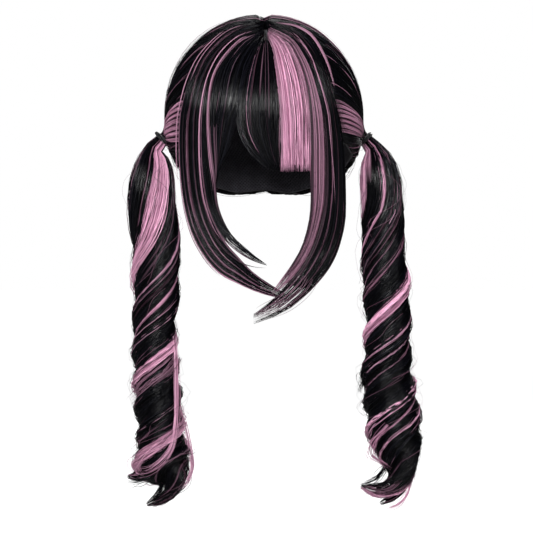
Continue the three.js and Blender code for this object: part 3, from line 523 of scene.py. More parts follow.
def lock_place(lock, share, u):
    """The direction of a place in a lock, seen from the front. u: -1 to 1 across it, more beside it."""
    a = spline(lock["outer"], share * lock.get("until", 1))
    b = spline(lock["inner"], share)
    return front_direction(lerp(a, b, ((u + 1) / 2)[..., None]))


def lock_sunk(lock, share):
    return lock.get("sink", 0) * smoothstep(share, 0.6, 1)


def lock_point(lock, share, u, height):
    """A place in a lock. share: root to tip. u: -1 to 1 across. height: -1 inside, 1 outside."""
    direction = lock_place(lock, share, u)
    thickness = lock["thickness"]
    depth = thickness * lerp(1, lock.get("tip", 0.3), smoothstep(share, 0.35, 1))
    rooted = smoothstep(share, 0, ROOT_SHARE)
    sunk = lock_sunk(lock, share)
    seat = CAP_WALL + lerp(ROOT_GAP, SEAT_GAP, rooted) - sunk
    fall = lerp(COMBED_FALL, SECTION_FALL, smoothstep(share, 0.5, 0.9))
    lens = np.sqrt(np.maximum(1 - fall * u * u, 0.05))
    middle = hair_layer(direction) - thickness / 2 - sunk
    top = middle + lens * depth / 2
    low = np.maximum(lerp(seat, middle - lens * depth / 2, rooted), seat)
    layer = lerp(low, top, (height + 1) / 2)
    return shell_point(direction, layer, DRAPE_REACH), shell_normal(direction, DRAPE_REACH)


def spilled(lock, share):
    """How far past its edges a lock's hair spreads, so that it meets its neighbours."""
    return 1 + lock.get("spill", 0.03) * (1 - smoothstep(share, 0.45, 0.85))


def lock_base(build, lock, stations, around, seed):
    """The closed body of a lock under its strands, combed into fine ridges."""
    share = np.linspace(0, lock.get("body", 0.9), stations)[:, None] * np.ones(around)
    turn = np.linspace(0, 2 * np.pi, around, endpoint=False)[None, :] * np.ones((stations, 1))
    u = np.cos(turn) * 0.97 * spilled(lock, share) * lerp(1, 0.45, smoothstep(share, 0.6, 1))
    height = np.sin(turn) * 0.8
    comb = ripple(turn / (2 * np.pi) + 0.01 * ripple(share * 2, seed + 1), seed, waves=9, lowest=6, highest=22)
    points, normals = lock_point(lock, share, u, height)
    points = points + normals * (comb * 0.3 * np.sin(turn))[..., None]
    shade = lock["pink"](u, share) * lock.get("body_pink", 0.3)
    build.loft(points, shade, np.full(share.shape, 0.3))


def lock_strands(build, lock, number, points, seed):
    draw = np.random.default_rng(seed)
    turn = draw.uniform(0, 2 * np.pi, number)
    front = draw.random(number) < 0.75
    turn = np.where(front, turn % np.pi, turn)
    loose = draw.random(number) < 0.06
    height = np.sin(turn) * np.where(loose, draw.uniform(1.1, 1.6, number), draw.uniform(0.75, 1.12, number))
    u = np.cos(turn) * np.where(loose, 1.03, draw.uniform(0.9, 1.01, number))
    clump = np.round(u * lock["clumps"] + ripple(u, seed + 3) * 0.2) / lock["clumps"]
    ends = 1 - lock.get("ragged", 0.1) * draw.random(number) ** 1.6
    starts = draw.uniform(0, 0.02, number)
    share = lerp(starts[:, None], ends[:, None], np.linspace(0, 1, points)[None, :])
    gather = lock.get("gather", 0.6) * smoothstep(share, 0.55, 1)
    wander = 0.02 * ripple(share * 1.3 + draw.uniform(0, 9, number)[:, None], seed + 7, waves=4, highest=2.5)
    fray = draw.normal(0, lock.get("fray", 0.05), number)[:, None] * smoothstep(share, 0.7, 1)
    across = lerp(u[:, None] * spilled(lock, share), clump[:, None], gather) + wander + fray
    bulge = height[:, None] + 0.1 * ripple(u, seed + 10, waves=9, lowest=2, highest=9)[:, None] + 0.08 * ripple(share + draw.uniform(0, 9, number)[:, None], seed + 8, highest=3)
    place, normals = lock_point(lock, share, across, bulge)
    body = np.sin(np.pi * lerp(0.12, 1.0, np.linspace(0, 1, points))) ** 0.5
    widths = draw.uniform(0.5, 1.1, number)[:, None] * np.clip(body, 0.12, 1)[None, :]
    stray = np.where(draw.random(number) < lock.get("strays", 0.05), draw.uniform(0.3, 0.7, number), 0)
    black = draw.random(number) < lock.get("blacks", 0)
    pink = np.maximum(lock["pink"](across, share), stray[:, None]) * np.where(black, 0.12, lock.get("dye", 1))[:, None]
    tone = clump_tone(draw, ripple(u, seed + 9, waves=9, lowest=2, highest=9))
    build.strands(place, normals, widths, pink, tone[:, None] * np.ones(points))


def lock_wisps(build, lock, points, seed):
    """Bundles of a few hairs on a lock or beside it, from its table of wisps."""
    draw = np.random.default_rng(seed)
    dye = 1 if lock["pink"] is all_pink else STREAK_STRENGTH
    for first, last, at_start, at_middle, at_end, spread, number, lift, pink in lock["wisps"]:
        t = np.linspace(0, 1, points)[None, :]
        middle = at_start * (1 - t) * (1 - 2 * t) + at_middle * 4 * t * (1 - t) + at_end * t * (2 * t - 1)
        across = middle + draw.normal(0, spread, number)[:, None] * lerp(0.8, 1.3, t)
        start = first + draw.uniform(0, 0.03, number)[:, None]
        end = last - draw.uniform(0, 0.12, number)[:, None] * (last - first)
        share = lerp(start, end, t)
        direction = lock_place(lock, share, across)
        rise = lift + 0.3 * draw.uniform(-1, 1, number)[:, None]
        rooted = smoothstep(share, 0, 0.12)
        layer = hair_layer(direction) - lock_sunk(lock, share) + rise - 2.5 * (1 - rooted)
        body = np.clip(np.sin(np.pi * lerp(0.1, 1.0, t[0])) ** 0.5, 0.12, 1)
        widths = draw.uniform(0.4, 0.85, number)[:, None] * body[None, :]
        tone = draw.uniform(0.4, 1.0, number)[:, None] * np.ones(points)
        shade = np.full((number, points), dye * pink) * lerp(0.5, 1, smoothstep(share, 0.02, 0.2))
        build.strands(
            shell_point(direction, layer, DRAPE_REACH), shell_normal(direction, DRAPE_REACH), widths, shade, tone)


STREAK_STRENGTH = 0.62


def all_pink(u, share):
    return np.broadcast_to(lerp(0.7, 1, smoothstep(share, 0, 0.25)), np.broadcast(u, share).shape)


def streaks(*bands):
    """Pink bands in black hair. Each: place across at the root and tip, half width, strength at root and tip."""
    def pink(u, share):
        value = np.zeros(np.broadcast(u, share).shape)
        for root, tip, half, strong, strong_tip in bands:
            away = np.abs(u - lerp(root, tip, share))
            strength = lerp(strong, strong_tip, smoothstep(share, 0.3, 0.8))
            value = np.maximum(value, strength * (1 - smoothstep(away, half * 0.5, half)))
        return STREAK_STRENGTH * value * smoothstep(share, 0.02, 0.12)
    return pink


# Wisps' columns: shares where they start and end, places across at the start, middle and end, spread, number
# of hairs, height above the hair, pinkness.
LOCKS = {
    "face_lock_left": dict(
        outer=LOCK_LEFT_OUTER, inner=LOCK_LEFT_INNER, thickness=LOCK_THICKNESS, sink=7, clumps=5,
        pink=streaks(
            (-1.0, -1.0, 0.1, 0.5, 0.95), (-0.1, -0.1, 0.08, 0.22, 0.5), (0.5, 0.3, 0.05, 0.1, 0.4),
            (-0.65, -0.6, 0.07, 0.0, 0.5)),
        stations=96, around=56, number=390, points=29, ragged=0.2, fray=0.06, body=0.92, strays=0.015,
        wisps=[
            (0.02, 0.3, -0.74, -0.72, -0.6, 0.02, 5, 0.7, 0.75),
            (0.12, 0.5, -0.98, -1.02, -1.0, 0.015, 7, 1.0, 0.9),
            (0.3, 0.86, -1.0, -1.02, -1.02, 0.02, 8, -3.2, 0.9),
            (0.35, 0.8, -1.0, -1.07, -1.04, 0.04, 4, -2.5, 0.5),
            (0.55, 1.0, 0.9, 1.1, 1.0, 0.08, 8, -2.0, 0.3),
        ]),
    "cheek_lock_left": dict(
        outer=CHEEK_LEFT_OUTER, inner=CHEEK_LEFT_INNER, thickness=CHEEK_THICKNESS, sink=1, clumps=2,
        pink=streaks((-1.0, -0.9, 0.2, 0.8, 0.3), (1.0, 0.95, 0.2, 0.6, 0.0)),
        stations=80, around=28, number=120, points=28, ragged=0.42, fray=0.25, spill=0.2, strays=0, body=0.76,
        wisps=[
            (0.05, 0.75, -1.0, -1.05, -1.1, 0.07, 6, 0.7, 0.95),
            (0.08, 0.62, 0.9, 1.0, 0.95, 0.08, 6, 0.6, 0.85),
            (0.6, 1.0, 0.0, 0.6, 1.6, 0.5, 6, -0.5, 0.0),
            (0.5, 1.0, -1.0, -1.7, -3.2, 0.5, 3, -1.0, 0.1),
        ]),
    "fringe_left": dict(
        outer=CHEEK_LEFT_INNER, inner=FRINGE_LEFT_INNER, until=0.6, thickness=FRINGE_THICKNESS, clumps=4,
        pink=streaks((0.1, 0.3, 0.03, 0.15, 0.1)), spill=0.13, strays=0.01,
        stations=64, around=56, number=320, points=16, ragged=0.4, fray=0.14,
        wisps=[
            (0.05, 0.7, -0.3, -0.3, -0.35, 0.02, 2, 0.5, 0.3),
            (0.6, 1.0, 1.0, 1.12, 1.2, 0.1, 12, -0.6, 0.0),
            (0.7, 1.0, -0.6, -0.4, 0.2, 0.4, 10, -0.4, 0.2),
        ]),
    "fringe_centre": dict(
        outer=FRINGE_CENTRE_LEFT, inner=FRINGE_CENTRE_RIGHT, thickness=FRINGE_THICKNESS, tip=0.6, clumps=7,
        pink=streaks((0.25, 0.4, 0.02, 0.15, 0.1)), spill=0.12, strays=0.01,
        stations=64, around=56, number=400, points=16, ragged=0.14, gather=0.3, body=0.94, fray=0.04,
        wisps=[
            (0.03, 0.45, 0.12, 0.05, 0.0, 0.01, 2, 0.5, 0.35),
            (0.04, 0.7, -0.35, -0.4, -0.45, 0.01, 2, 0.5, 0.2),
            (0.04, 0.6, 0.5, 0.48, 0.45, 0.01, 2, 0.5, 0.2),
            (0.5, 1.02, -1.0, -1.1, -1.06, 0.03, 8, -1.5, 0.0),
        ]),
    "fringe_pink": dict(
        outer=FRINGE_PINK_LEFT, inner=FRINGE_PINK_RIGHT, thickness=FRINGE_THICKNESS, tip=0.6, clumps=9,
        pink=all_pink, body_pink=1, spill=0.12, blacks=0.06, strays=0,
        stations=64, around=56, number=400, points=16, ragged=0.1, gather=0.3, body=0.93, fray=0.03,
        wisps=[
            (0.03, 0.97, 0.62, 0.7, 0.72, 0.08, 9, 0.3, 0.35),
            (0.03, 0.98, -0.95, -0.97, -0.95, 0.04, 7, 0.2, 0.3),
            (0.03, 0.9, -0.3, -0.25, -0.2, 0.02, 4, 0.2, 0.55),
            (0.03, 0.9, 0.25, 0.3, 0.3, 0.02, 4, 0.2, 0.55),
        ]),
    "cheek_lock_right": dict(
        outer=CHEEK_RIGHT_INNER, inner=CHEEK_RIGHT_OUTER, thickness=CHEEK_THICKNESS, clumps=3,
        pink=all_pink, body_pink=0.16, dye=0.48, spill=0.2, blacks=0.42, strays=0,
        stations=90, around=32, number=170, points=28, ragged=0.28, fray=0.25,
        wisps=[
            (0.05, 0.98, -1.0, -1.1, -1.3, 0.15, 12, 0.3, 0.05),
            (0.4, 1.0, 0.9, 1.1, 0.9, 0.15, 7, 0.2, 0.05),
        ]),
    "face_lock_right": dict(
        outer=LOCK_RIGHT_INNER, inner=LOCK_RIGHT_OUTER, thickness=LOCK_THICKNESS, clumps=5,
        pink=streaks(
            (-0.25, -0.35, 0.06, 0.5, 0.6), (0.3, 0.2, 0.05, 0.1, 0.3), (-0.75, -0.7, 0.08, 0.0, 0.45)),
        stations=96, around=56, number=390, points=29, ragged=0.3, fray=0.08, body=0.86, strays=0.015,
        wisps=[
            (0.02, 0.36, 0.85, 1.1, 1.08, 0.04, 10, 0.7, 0.9),
            (0.05, 0.6, 0.1, -0.45, -0.1, 0.015, 5, 0.6, 0.8),
            (0.55, 0.95, 0.95, 1.02, 1.0, 0.03, 5, -3.0, 0.3),
            (0.8, 1.0, 0.0, 0.2, -0.6, 0.4, 10, -0.5, 0.3),
        ]),
}


def make_lock(name, seed):
    lock = LOCKS[name]
    build = Build()
    lock_base(build, lock, lock["stations"], lock["around"], seed)
    lock_strands(build, lock, lock["number"], lock["points"], seed + 40)
    lock_wisps(build, lock, 22, seed + 80)
    is_pink = lock["pink"] is all_pink
    build.finish(
        f"{name}_hair", pink_hair if is_pink else black_hair, "pink_hair" if is_pink else "black_hair", name)


# Crown hair

def tie_frame(side):
    up = (HEAD_CROWN - TIE_DROP) / HEAD_REACH
    back = TIE_BACK / (HEAD_LENGTH / 2)
    across = math.sqrt(1 - up * up - back * back) * (HEAD_BREADTH / 2) + TIE_STANDOFF
    centre = np.array([side * across, TIE_BACK, -TIE_DROP])
    slope = math.radians(TIE_SLOPE)
    axis = np.array([side * math.cos(slope), 0, -math.sin(slope)])
    forward = np.array([0.0, -1, 0])
    return centre, axis, forward, np.cross(axis, forward)


def gathered_outline(side, lock_edge):
    """The outline of the hair that one tie gathers: parting, rim, temple and lock, as lists of directions."""
    steps = np.linspace(0, 1, 241)
    part = PART_OFFSET / (HEAD_BREADTH / 2)
    nape = math.acos(cap_edge_direction(180)[2])
    polar = lerp(-math.asin(PART_END / (HEAD_LENGTH / 2 + TOP_LAYER)), nape, steps)
    parting = unit(np.stack([np.full(241, side * part), np.sin(polar), np.cos(polar)], axis=-1))
    along = front_direction(spline(lock_edge, steps))
    point = shell_point(along, hair_layer(along), DRAPE_REACH)
    along = shell_direction(point, hair_layer(along), HEAD_REACH)
    azimuth = np.degrees(np.arctan2(np.abs(along[:, 0]), -along[:, 1]))
    end = int(np.argmax(along[:, 2] < cap_edge_direction(azimuth)[:, 2]))
    temple = int(np.argmax(along[:, 2] < TEMPLE_TOP))
    rim = cap_edge_direction(side * lerp(180, azimuth[end], steps))
    return {"parting": parting, "rim": rim, "temple": along[temple:end][::-1], "lock": along[1:temple][::-1]}


def gather_rays(side, lock_edge, count):
    """Rays from the tie to the outline, spread by angle round the tie and by length of outline."""
    centre, axis, forward, over = tie_frame(side)
    pole = shell_direction(centre, TIE_STANDOFF, HEAD_REACH)
    outline = gathered_outline(side, lock_edge)
    targets = np.concatenate(list(outline.values()))
    part = np.concatenate([np.full(len(v), i) for i, v in enumerate(outline.values())])
    spots = shell_point(targets, SIDE_LAYER, HEAD_REACH)
    near = shell_point(turned(pole, targets, np.full(len(targets), 0.02)), SIDE_LAYER, HEAD_REACH)
    way = near - shell_point(pole, SIDE_LAYER, HEAD_REACH)
    angle = np.unwrap(np.arctan2(way @ over, way @ forward))
    step = np.abs(np.diff(angle, prepend=angle[:1])) * TURN_WEIGHT
    step = step + np.linalg.norm(np.diff(spots, axis=0, prepend=spots[:1]), axis=-1)
    marks = np.cumsum(step)
    wanted = (np.arange(count) + 0.5) / count * marks[-1]
    picked = np.stack([np.interp(wanted, marks, targets[:, i]) for i in range(3)], axis=-1)
    picked = unit(picked)
    middle = shell_point(turned(pole, picked, np.full(count, 0.5)), SIDE_LAYER, HEAD_REACH)
    ends = shell_point(picked, SIDE_LAYER, HEAD_REACH)
    start = shell_point(pole, SIDE_LAYER, HEAD_REACH)
    length = np.linalg.norm(middle - ends, axis=-1) + np.linalg.norm(middle - start, axis=-1)
    parts = part[np.clip(np.searchsorted(marks, wanted), 0, len(part) - 1)]
    return {
        "pole": pole, "target": picked, "length": length, "angle": np.interp(wanted, marks, angle),
        "part": parts, "mark": wanted,
    }


PARTING, RIM, TEMPLE, LOCK = range(4)
NECK_POINTS = 5
FINE_HAIR = 0.26
TEMPLE_BUNDLES = 7


def ray_paths(side, rays, points, lift, clear):
    """Paths from inside the tie to the outline, `lift` above the combed surface."""
    centre, axis, forward, over = tie_frame(side)
    count = len(rays["length"])
    length = rays["length"][:, None]
    spread = np.minimum(NECK_SPREAD, length * 0.55)
    share = lerp(spread / length, 1, np.linspace(0, 1, points)[None, :] ** 0.9)
    reach = 1 - clear[:, None] / length
    pole = rays["pole"][None, None, :]
    direction = turned(pole, rays["target"][:, None, :], share * reach)
    rounding = np.minimum(RIM_ROUNDING, length * 0.5)
    to_rim = np.minimum((1 - share) * length / rounding, 1)
    rise = np.sqrt(1 - (1 - to_rim) ** 2)
    body = smoothstep(length, 15, 60)
    combed = lerp(RIM_LAYER + 0.5, hair_layer(direction), body)
    full = np.where((rays["part"] == TEMPLE)[:, None], RIM_LAYER, combed)
    tucked = RIM_LAYER - 3.2 * (1 - to_rim) ** 2
    edge = np.where((rays["part"] == PARTING)[:, None], PART_LAYER, tucked)
    surface = shell_point(direction, lerp(edge, full, rise) + lift, HEAD_REACH)
    normals = shell_normal(direction, HEAD_REACH)
    turn = rays["angle"][:, None]
    outwards = forward * np.cos(turn) + over * np.sin(turn)
    in_tie = centre + outwards * (BUNDLE_RADIUS - 0.3)
    neck = in_tie - axis * BUNDLE_HALF
    bend = neck - axis * 0.2 * spread
    t = np.linspace(0, 1, NECK_POINTS + 1)[None, :-1, None]
    opening = neck[:, None] * (1 - t) ** 2 + bend[:, None] * 2 * t * (1 - t) + surface[:, :1] * t**2
    start = (in_tie + axis * 1.5)[:, None]
    paths = np.concatenate([start, opening, surface], axis=1)
    around = np.repeat(outwards[:, None], NECK_POINTS + 1, axis=1)
    return paths, np.concatenate([around, normals], axis=1)


def crown(side, name, lock_edge, bands, seed):
    build = Build()
    base_rays = gather_rays(side, lock_edge, 220)
    comb = ripple(base_rays["mark"] / 60, seed, waves=9, lowest=3, highest=11) * 0.4
    under = np.where(base_rays["part"] == LOCK, -4.0, np.where(base_rays["part"] == PARTING, -1.0, 0.6))
    outside, unused = ray_paths(side, base_rays, 26, comb[:, None] - 0.6, under)
    seat = CAP_WALL + SEAT_GAP
    shares = np.linspace(0.1, 1, 10)[None, :]
    inside = shell_point(turned(
        base_rays["pole"][None, None, :], base_rays["target"][:, None, :],
        shares * (1 - (under + 0.2)[:, None] / base_rays["length"][:, None])), seat, HEAD_REACH)
    rings = np.concatenate([inside, outside[:, ::-1]], axis=1).transpose(1, 0, 2)
    build.loft(rings, np.zeros(rings.shape[:2]), np.full(rings.shape[:2], 0.3))
    draw = np.random.default_rng(seed + 1)
    number, points = 560, 16
    rays = gather_rays(side, lock_edge, number)
    jitter = draw.integers(0, number, number)
    rays = {key: (value[jitter] if np.ndim(value) and len(value) == number else value) for key, value in rays.items()}
    rays["pole"] = base_rays["pole"]
    loose = draw.random(number) < 0.05
    lift = np.where(loose, draw.uniform(0.5, 2.2, number), draw.uniform(-0.5, 0.5, number))[:, None]
    lift = lift + (ripple(rays["mark"] / 60, seed, waves=9, lowest=3, highest=11) * 0.4)[:, None]
    along = np.linspace(0, 1, points)[None, :] + draw.uniform(0, 9, number)[:, None]
    lift = (lift + 0.15 * ripple(along, seed + 2, highest=3)) * np.sin(np.pi * np.linspace(0.12, 0.97, points))[None, :]
    clear = np.array([-1.5, 0.2, 1.5, -5.0])[rays["part"]] + draw.random(number) * 0.8
    paths, normals = ray_paths(side, rays, points, lift, clear)
    tangent = unit(np.gradient(paths, axis=1))
    sideways = np.cross(tangent, normals)
    steps = paths.shape[1]
    sway = ripple(np.linspace(0, 1, steps)[None, :] * 1.4 + draw.uniform(0, 9, number)[:, None], seed + 5, waves=4, highest=2)
    fade = np.clip((rays["length"][:, None] - 20) / 80, 0.1, 1) * np.sin(np.pi * np.linspace(0, 1, steps))[None, :]
    paths = paths + sideways * (sway * fade * 0.6)[..., None]
    widths = draw.uniform(0.5, 1.2, number)[:, None] * np.linspace(0.75, 1, steps)[None, :]
    widths[:, -1] *= 0.3
    tone = clump_tone(draw, ripple(rays["mark"] / 60, seed + 7, waves=9, lowest=2, highest=9))[:, None] * np.ones(steps)
    pink = np.where(draw.random(number) < 0.04, draw.uniform(0.25, 0.65, number), 0)
    polar = np.degrees(np.arctan2(rays["target"][:, 1], rays["target"][:, 2]))
    for middle, half, strength in bands:
        away = np.abs(polar - middle) + 99 * (rays["part"] != PARTING)
        pink = np.maximum(pink, strength * (away < half))
    build.strands(paths, normals, widths, pink[:, None] * np.ones(steps), tone)
    crown_flyaways(build, side, rays, seed + 9)
    build.finish(f"{name}_combed", black_hair, "black_hair", name)


# Pink streaks of the crown. Columns: degrees along the parting from the top, half width, strength.
CROWN_BANDS_LEFT = ((-13, 0.35, 0.45), (-4, 0.4, 0.3))
CROWN_BANDS_RIGHT = ((-17, 0.4, 0.7), (-12.5, 0.5, 0.6), (-7, 0.5, 0.75), (-2, 0.6, 0.6), (4, 0.8, 0.6))


def crown_flyaways(build, side, rays, seed):
    """A few fine hairs that stand off the crown for part of their way."""
    number, points = 42, 14
    draw = np.random.default_rng(seed)
    picked = draw.choice(np.flatnonzero(rays["length"] > 45), number, replace=False)
    some = {key: (value[picked] if len(value) == len(rays["length"]) else value) for key, value in rays.items()}
    rise = np.sin(np.pi * np.linspace(0, 1, points))[None, :] ** 1.5
    paths, normals = ray_paths(side, some, points, draw.uniform(1.0, 4.2, number)[:, None] * rise, np.full(number, 1.0))
    paths, normals = paths[:, NECK_POINTS + 2:], normals[:, NECK_POINTS + 2:]
    steps = paths.shape[1]
    sideways = np.cross(unit(np.gradient(paths, axis=1)), normals)
    bow = draw.uniform(-7, 7, number)[:, None] * np.sin(np.pi * np.linspace(0, 1, steps))[None, :]
    paths = paths + sideways * bow[..., None]
    widths = np.full((number, steps), FINE_HAIR)
    shade = np.where(draw.random(number) < 0.3, 0.5, 0.0)[:, None] * np.ones(steps)
    build.strands(paths, normals, widths, shade, np.full((number, steps), 0.3))


def temple_strand(side, name, lock_edge, blacks, seed):
    """The pink strand that lies on the crown hair's lowered part from the temple to the tie."""
    build = Build()
    fine = gather_rays(side, lock_edge, 1500)
    under = np.flatnonzero(fine["part"] == TEMPLE)
    draw = np.random.default_rng(seed)

    def laid(place, height, points):
        index = under[0] + np.clip(place, 0.03, 0.97) * (under[-1] - under[0])
        low = index.astype(int)
        rays = {key: (value[low] if np.ndim(value) and len(value) == 1500 else value) for key, value in fine.items()}
        rays["pole"] = fine["pole"]
        body = np.sin(np.pi * np.linspace(0.1, 0.86, points))[None, :]
        lens = np.sqrt(np.maximum(1 - (2 * place - 1) ** 2, 0.02))[:, None]
        lift = SEAT_GAP + (SEAT_GAP + TEMPLE_THICKNESS * body * lens) * height[:, None]
        paths, normals = ray_paths(side, rays, points, lift, np.full(len(low), 3.0))
        return paths[:, NECK_POINTS:], normals[:, NECK_POINTS:]

    around = 24
    turn = np.linspace(0, 2 * np.pi, around, endpoint=False)
    points, normals = laid(0.5 + 0.46 * np.cos(turn), 0.45 + 0.35 * np.sin(turn), 30)
    rings = points.transpose(1, 0, 2)
    build.loft(rings, np.full(rings.shape[:2], 0.05), np.full(rings.shape[:2], 0.1))
    number = 140
    bundle = draw.integers(0, TEMPLE_BUNDLES, number)
    half = 0.32 / TEMPLE_BUNDLES
    place = np.clip((bundle + 0.5) / TEMPLE_BUNDLES + draw.uniform(-half, half, number), 0.01, 0.99)
    height = draw.uniform(0.85, 1.2, number) + 0.15 * np.cos((bundle + 0.5) * 2.1)
    paths, normals = laid(place, height, 20)
    steps = paths.shape[1]
    taper = np.clip(np.sin(np.pi * np.linspace(0.1, 0.97, steps)), 0.2, 1)
    widths = draw.uniform(0.5, 1.0, number)[:, None] * taper[None, :]
    tone = draw.uniform(0.1, 1.0, number)[:, None] * np.ones(steps)
    pink = np.where(draw.random(number) < blacks, 0.1, 1.0)[:, None] * np.ones(steps)
    build.strands(paths, normals, widths, pink, tone)
    build.finish(f"{name}_hair", pink_hair, "pink_hair", name)


# Tails

TURN_EASING = np.linspace(-0.035, 0.035, 7)


def centripetal(points, share):
    """The curve that the CAD's middle lines follow, at shares of its whole parameter."""
    padded = np.concatenate([[2 * points[0] - points[1]], points, [2 * points[-1] - points[-2]]])
    last = len(points) - 1
    place = np.clip(share, 0, 1) * last
    i = np.minimum(place.astype(int), last - 1)
    t = (place - i)[..., None]
    p = [padded[i + k] for k in range(4)]
    gaps = [np.sqrt(np.linalg.norm(p[k + 1] - p[k], axis=-1, keepdims=True)) + 1e-9 for k in range(3)]
    t1 = ((p[1] - p[0]) / gaps[0] - (p[2] - p[0]) / (gaps[0] + gaps[1]) + (p[2] - p[1]) / gaps[1]) * gaps[1]
    t2 = ((p[2] - p[1]) / gaps[1] - (p[3] - p[1]) / (gaps[1] + gaps[2]) + (p[3] - p[2]) / gaps[2]) * gaps[1]
    a, b = p[1], p[2]
    return a + t1 * t + (-3 * a + 3 * b - 2 * t1 - t2) * t**2 + (2 * a - 2 * b + t1 + t2) * t**3


def middle_line(side, rows):
    centre = tie_frame(side)[0]
    return centre + np.stack([rows[:, SWAY] * TAIL_RADIUS, rows[:, AFT] * TAIL_RADIUS, -rows[:, DROP] * TAIL_LENGTH], axis=-1)


def tail_spine(side, rows, tied):
    """The middle line, girth and turn of a tail or curl as a function of its share."""
    line = middle_line(side, rows)
    girths, turns = rows[:, GIRTH], rows[:, TURN]
    if tied:
        centre, axis, unused, unused = tie_frame(side)
        end = centre + axis * (-BUNDLE_HALF * 0.6)
        beyond = centre + axis * BUNDLE_HALF * 1.5
        line = np.concatenate([[end, beyond], line])
        thin = BUNDLE_RADIUS / TAIL_RADIUS
        girths = np.concatenate([[thin, 1.1 * thin], girths])
        turns = np.concatenate([[0, 0], turns])
    knots = np.linspace(0, 1, len(line))

    def at(share):
        nudge = 1e-3
        middle = centripetal(line, share)
        along = unit(centripetal(line, np.minimum(share + nudge, 1)) - centripetal(line, np.maximum(share - nudge, 0)))
        forward = unit(np.array([0, -1.0, 0]) + along * along[..., 1:2])
        right = np.cross(forward, along)
        eased = sum(np.interp(share + step, knots, turns) for step in TURN_EASING) / len(TURN_EASING)
        return middle, forward, right, np.interp(share, knots, girths) * TAIL_RADIUS, eased

    return at


def even_shares(at, count):
    """Shares that are evenly spaced along the spine, and closer where it twists."""
    fine = np.linspace(0, 1, 801)
    middle, unused, unused, girth, turn = at(fine)
    step = np.linalg.norm(np.diff(middle, axis=0, prepend=middle[:1]), axis=-1)
    step = step + np.abs(np.diff(turn, prepend=turn[:1])) * 90 + np.abs(np.diff(girth, prepend=girth[:1])) * 1.5
    marks = np.cumsum(step)
    return np.interp(np.linspace(0, marks[-1], count), marks, fine)


def lobed(angle, share):
    return 1 + LOBE * smoothstep(share, 0.1, 0.5) * np.cos(np.radians(3 * angle))


def tail_point(at, share, angle, radius, start):
    """A point of a tail. angle: degrees round it from the pink lock. radius: share of its girth there."""
    middle, forward, right, girth, turn = at(share)
    whole = np.radians(start - turn * 360 + angle)
    out = forward * np.cos(whole)[..., None] + right * np.sin(whole)[..., None]
    return middle + out * (girth * radius * lobed(angle, share))[..., None], out


# Pink bands of the tails. Columns: degrees round the tail from the pink lock, half width in degrees, strength,
# drops from which and to which it shows.
BANDS_LEFT = (
    (322, 3, 0.6, 0.0, 0.25), (272, 4, 0.4, 0.05, 0.35), (46, 3, 0.35, 0.05, 0.3), (60, 3, 0.3, 0.1, 0.35),
    (102, 4, 0.7, 0.2, 0.55), (118, 3, 0.4, 0.2, 0.6), (136, 5, 0.25, 0.25, 0.6), (180, 7, 1.0, 0.3, 0.6),
    (213, 2.5, 0.6, 0.35, 0.6), (40, 9, 0.6, 0.6, 0.75), (66, 4, 0.6, 0.62, 0.8), (110, 4, 0.5, 0.75, 1.0),
    (200, 5, 0.5, 0.8, 1.0), (280, 5, 0.4, 0.8, 1.0),
)
BANDS_RIGHT = (
    (50, 26, 1.0, 0.0, 0.05), (38, 14, 1.0, 0.0, 0.17), (64, 5, 0.9, 0.7, 0.86), (112, 5, 1.0, 0.0, 0.34),
    (112, 5, 0.8, 0.5, 0.65), (108, 4.5, 1.0, 0.74, 0.9), (144, 3, 0.4, 0.02, 0.4), (157, 3.5, 0.8, 0.5, 0.68),
    (166, 2.5, 0.3, 0.15, 0.45), (180, 3, 0.4, 0.0, 0.3), (201, 3, 0.55, 0.3, 0.7), (233, 2.5, 0.4, 0.25, 0.5),
    (244, 5, 0.65, 0.28, 0.5), (320, 5, 0.4, 0.85, 1.0), (200, 4, 0.4, 0.9, 1.0),
)

# Loose wisps of the tails. Each: number of hairs, pinkness, and a middle line with the tails' columns.
WISPS_LEFT = (
    (15, 1.0, [
        [0.54, 0.5, -0.3, 0.1, 0.0], [0.6, 0.6, -0.72, 0.11, 0.0], [0.68, 0.62, -0.88, 0.11, 0.0],
        [0.77, 0.6, -0.98, 0.12, 0.0], [0.84, 0.42, -1.15, 0.13, 0.0], [0.88, 0.0, -1.3, 0.15, 0.0],
        [0.905, -0.6, -1.05, 0.14, 0.0], [0.91, -1.15, -0.6, 0.12, 0.0]]),
    (12, 0.95, [
        [0.73, 0.75, 0.0, 0.1, 0.0], [0.775, 0.92, -0.3, 0.1, 0.0], [0.849, 1.16, -0.35, 0.1, 0.0],
        [0.895, 1.26, -0.4, 0.1, 0.0], [0.93, 1.1, -0.45, 0.1, 0.0], [0.955, 0.8, -0.45, 0.09, 0.0],
        [0.966, 0.3, -0.4, 0.05, 0.0]]),
    (26, 0.9, [
        [0.8, 0.5, -0.9, 0.2, 0.0], [0.84, -0.1, -1.12, 0.24, 0.0], [0.872, -0.75, -0.92, 0.22, 0.0],
        [0.888, -1.2, -0.5, 0.18, 0.0], [0.903, -1.1, -0.2, 0.14, 0.0], [0.912, -0.6, -0.3, 0.1, 0.0]]),
    (26, 0.4, [
        [0.6, 0.75, -0.5, 0.2, 0.0], [0.635, 0.3, -0.92, 0.24, 0.0], [0.67, -0.35, -0.9, 0.25, 0.0],
        [0.705, -0.95, -0.6, 0.24, 0.0], [0.732, -1.38, -0.3, 0.16, 0.0]]),
    (20, 0.0, [
        [0.88, 0.3, -0.6, 0.26, 0.0], [0.915, -0.3, -0.6, 0.26, 0.0], [0.935, -0.95, -0.5, 0.22, 0.0],
        [0.938, -1.6, -0.4, 0.16, 0.0]]),
    (20, 0.1, [
        [0.88, 0.85, -0.2, 0.2, 0.0], [0.93, 0.95, -0.3, 0.2, 0.0], [0.965, 0.5, -0.35, 0.2, 0.0],
        [0.99, -0.1, -0.35, 0.16, 0.0], [1.0, -0.75, -0.3, 0.12, 0.0]]),
)
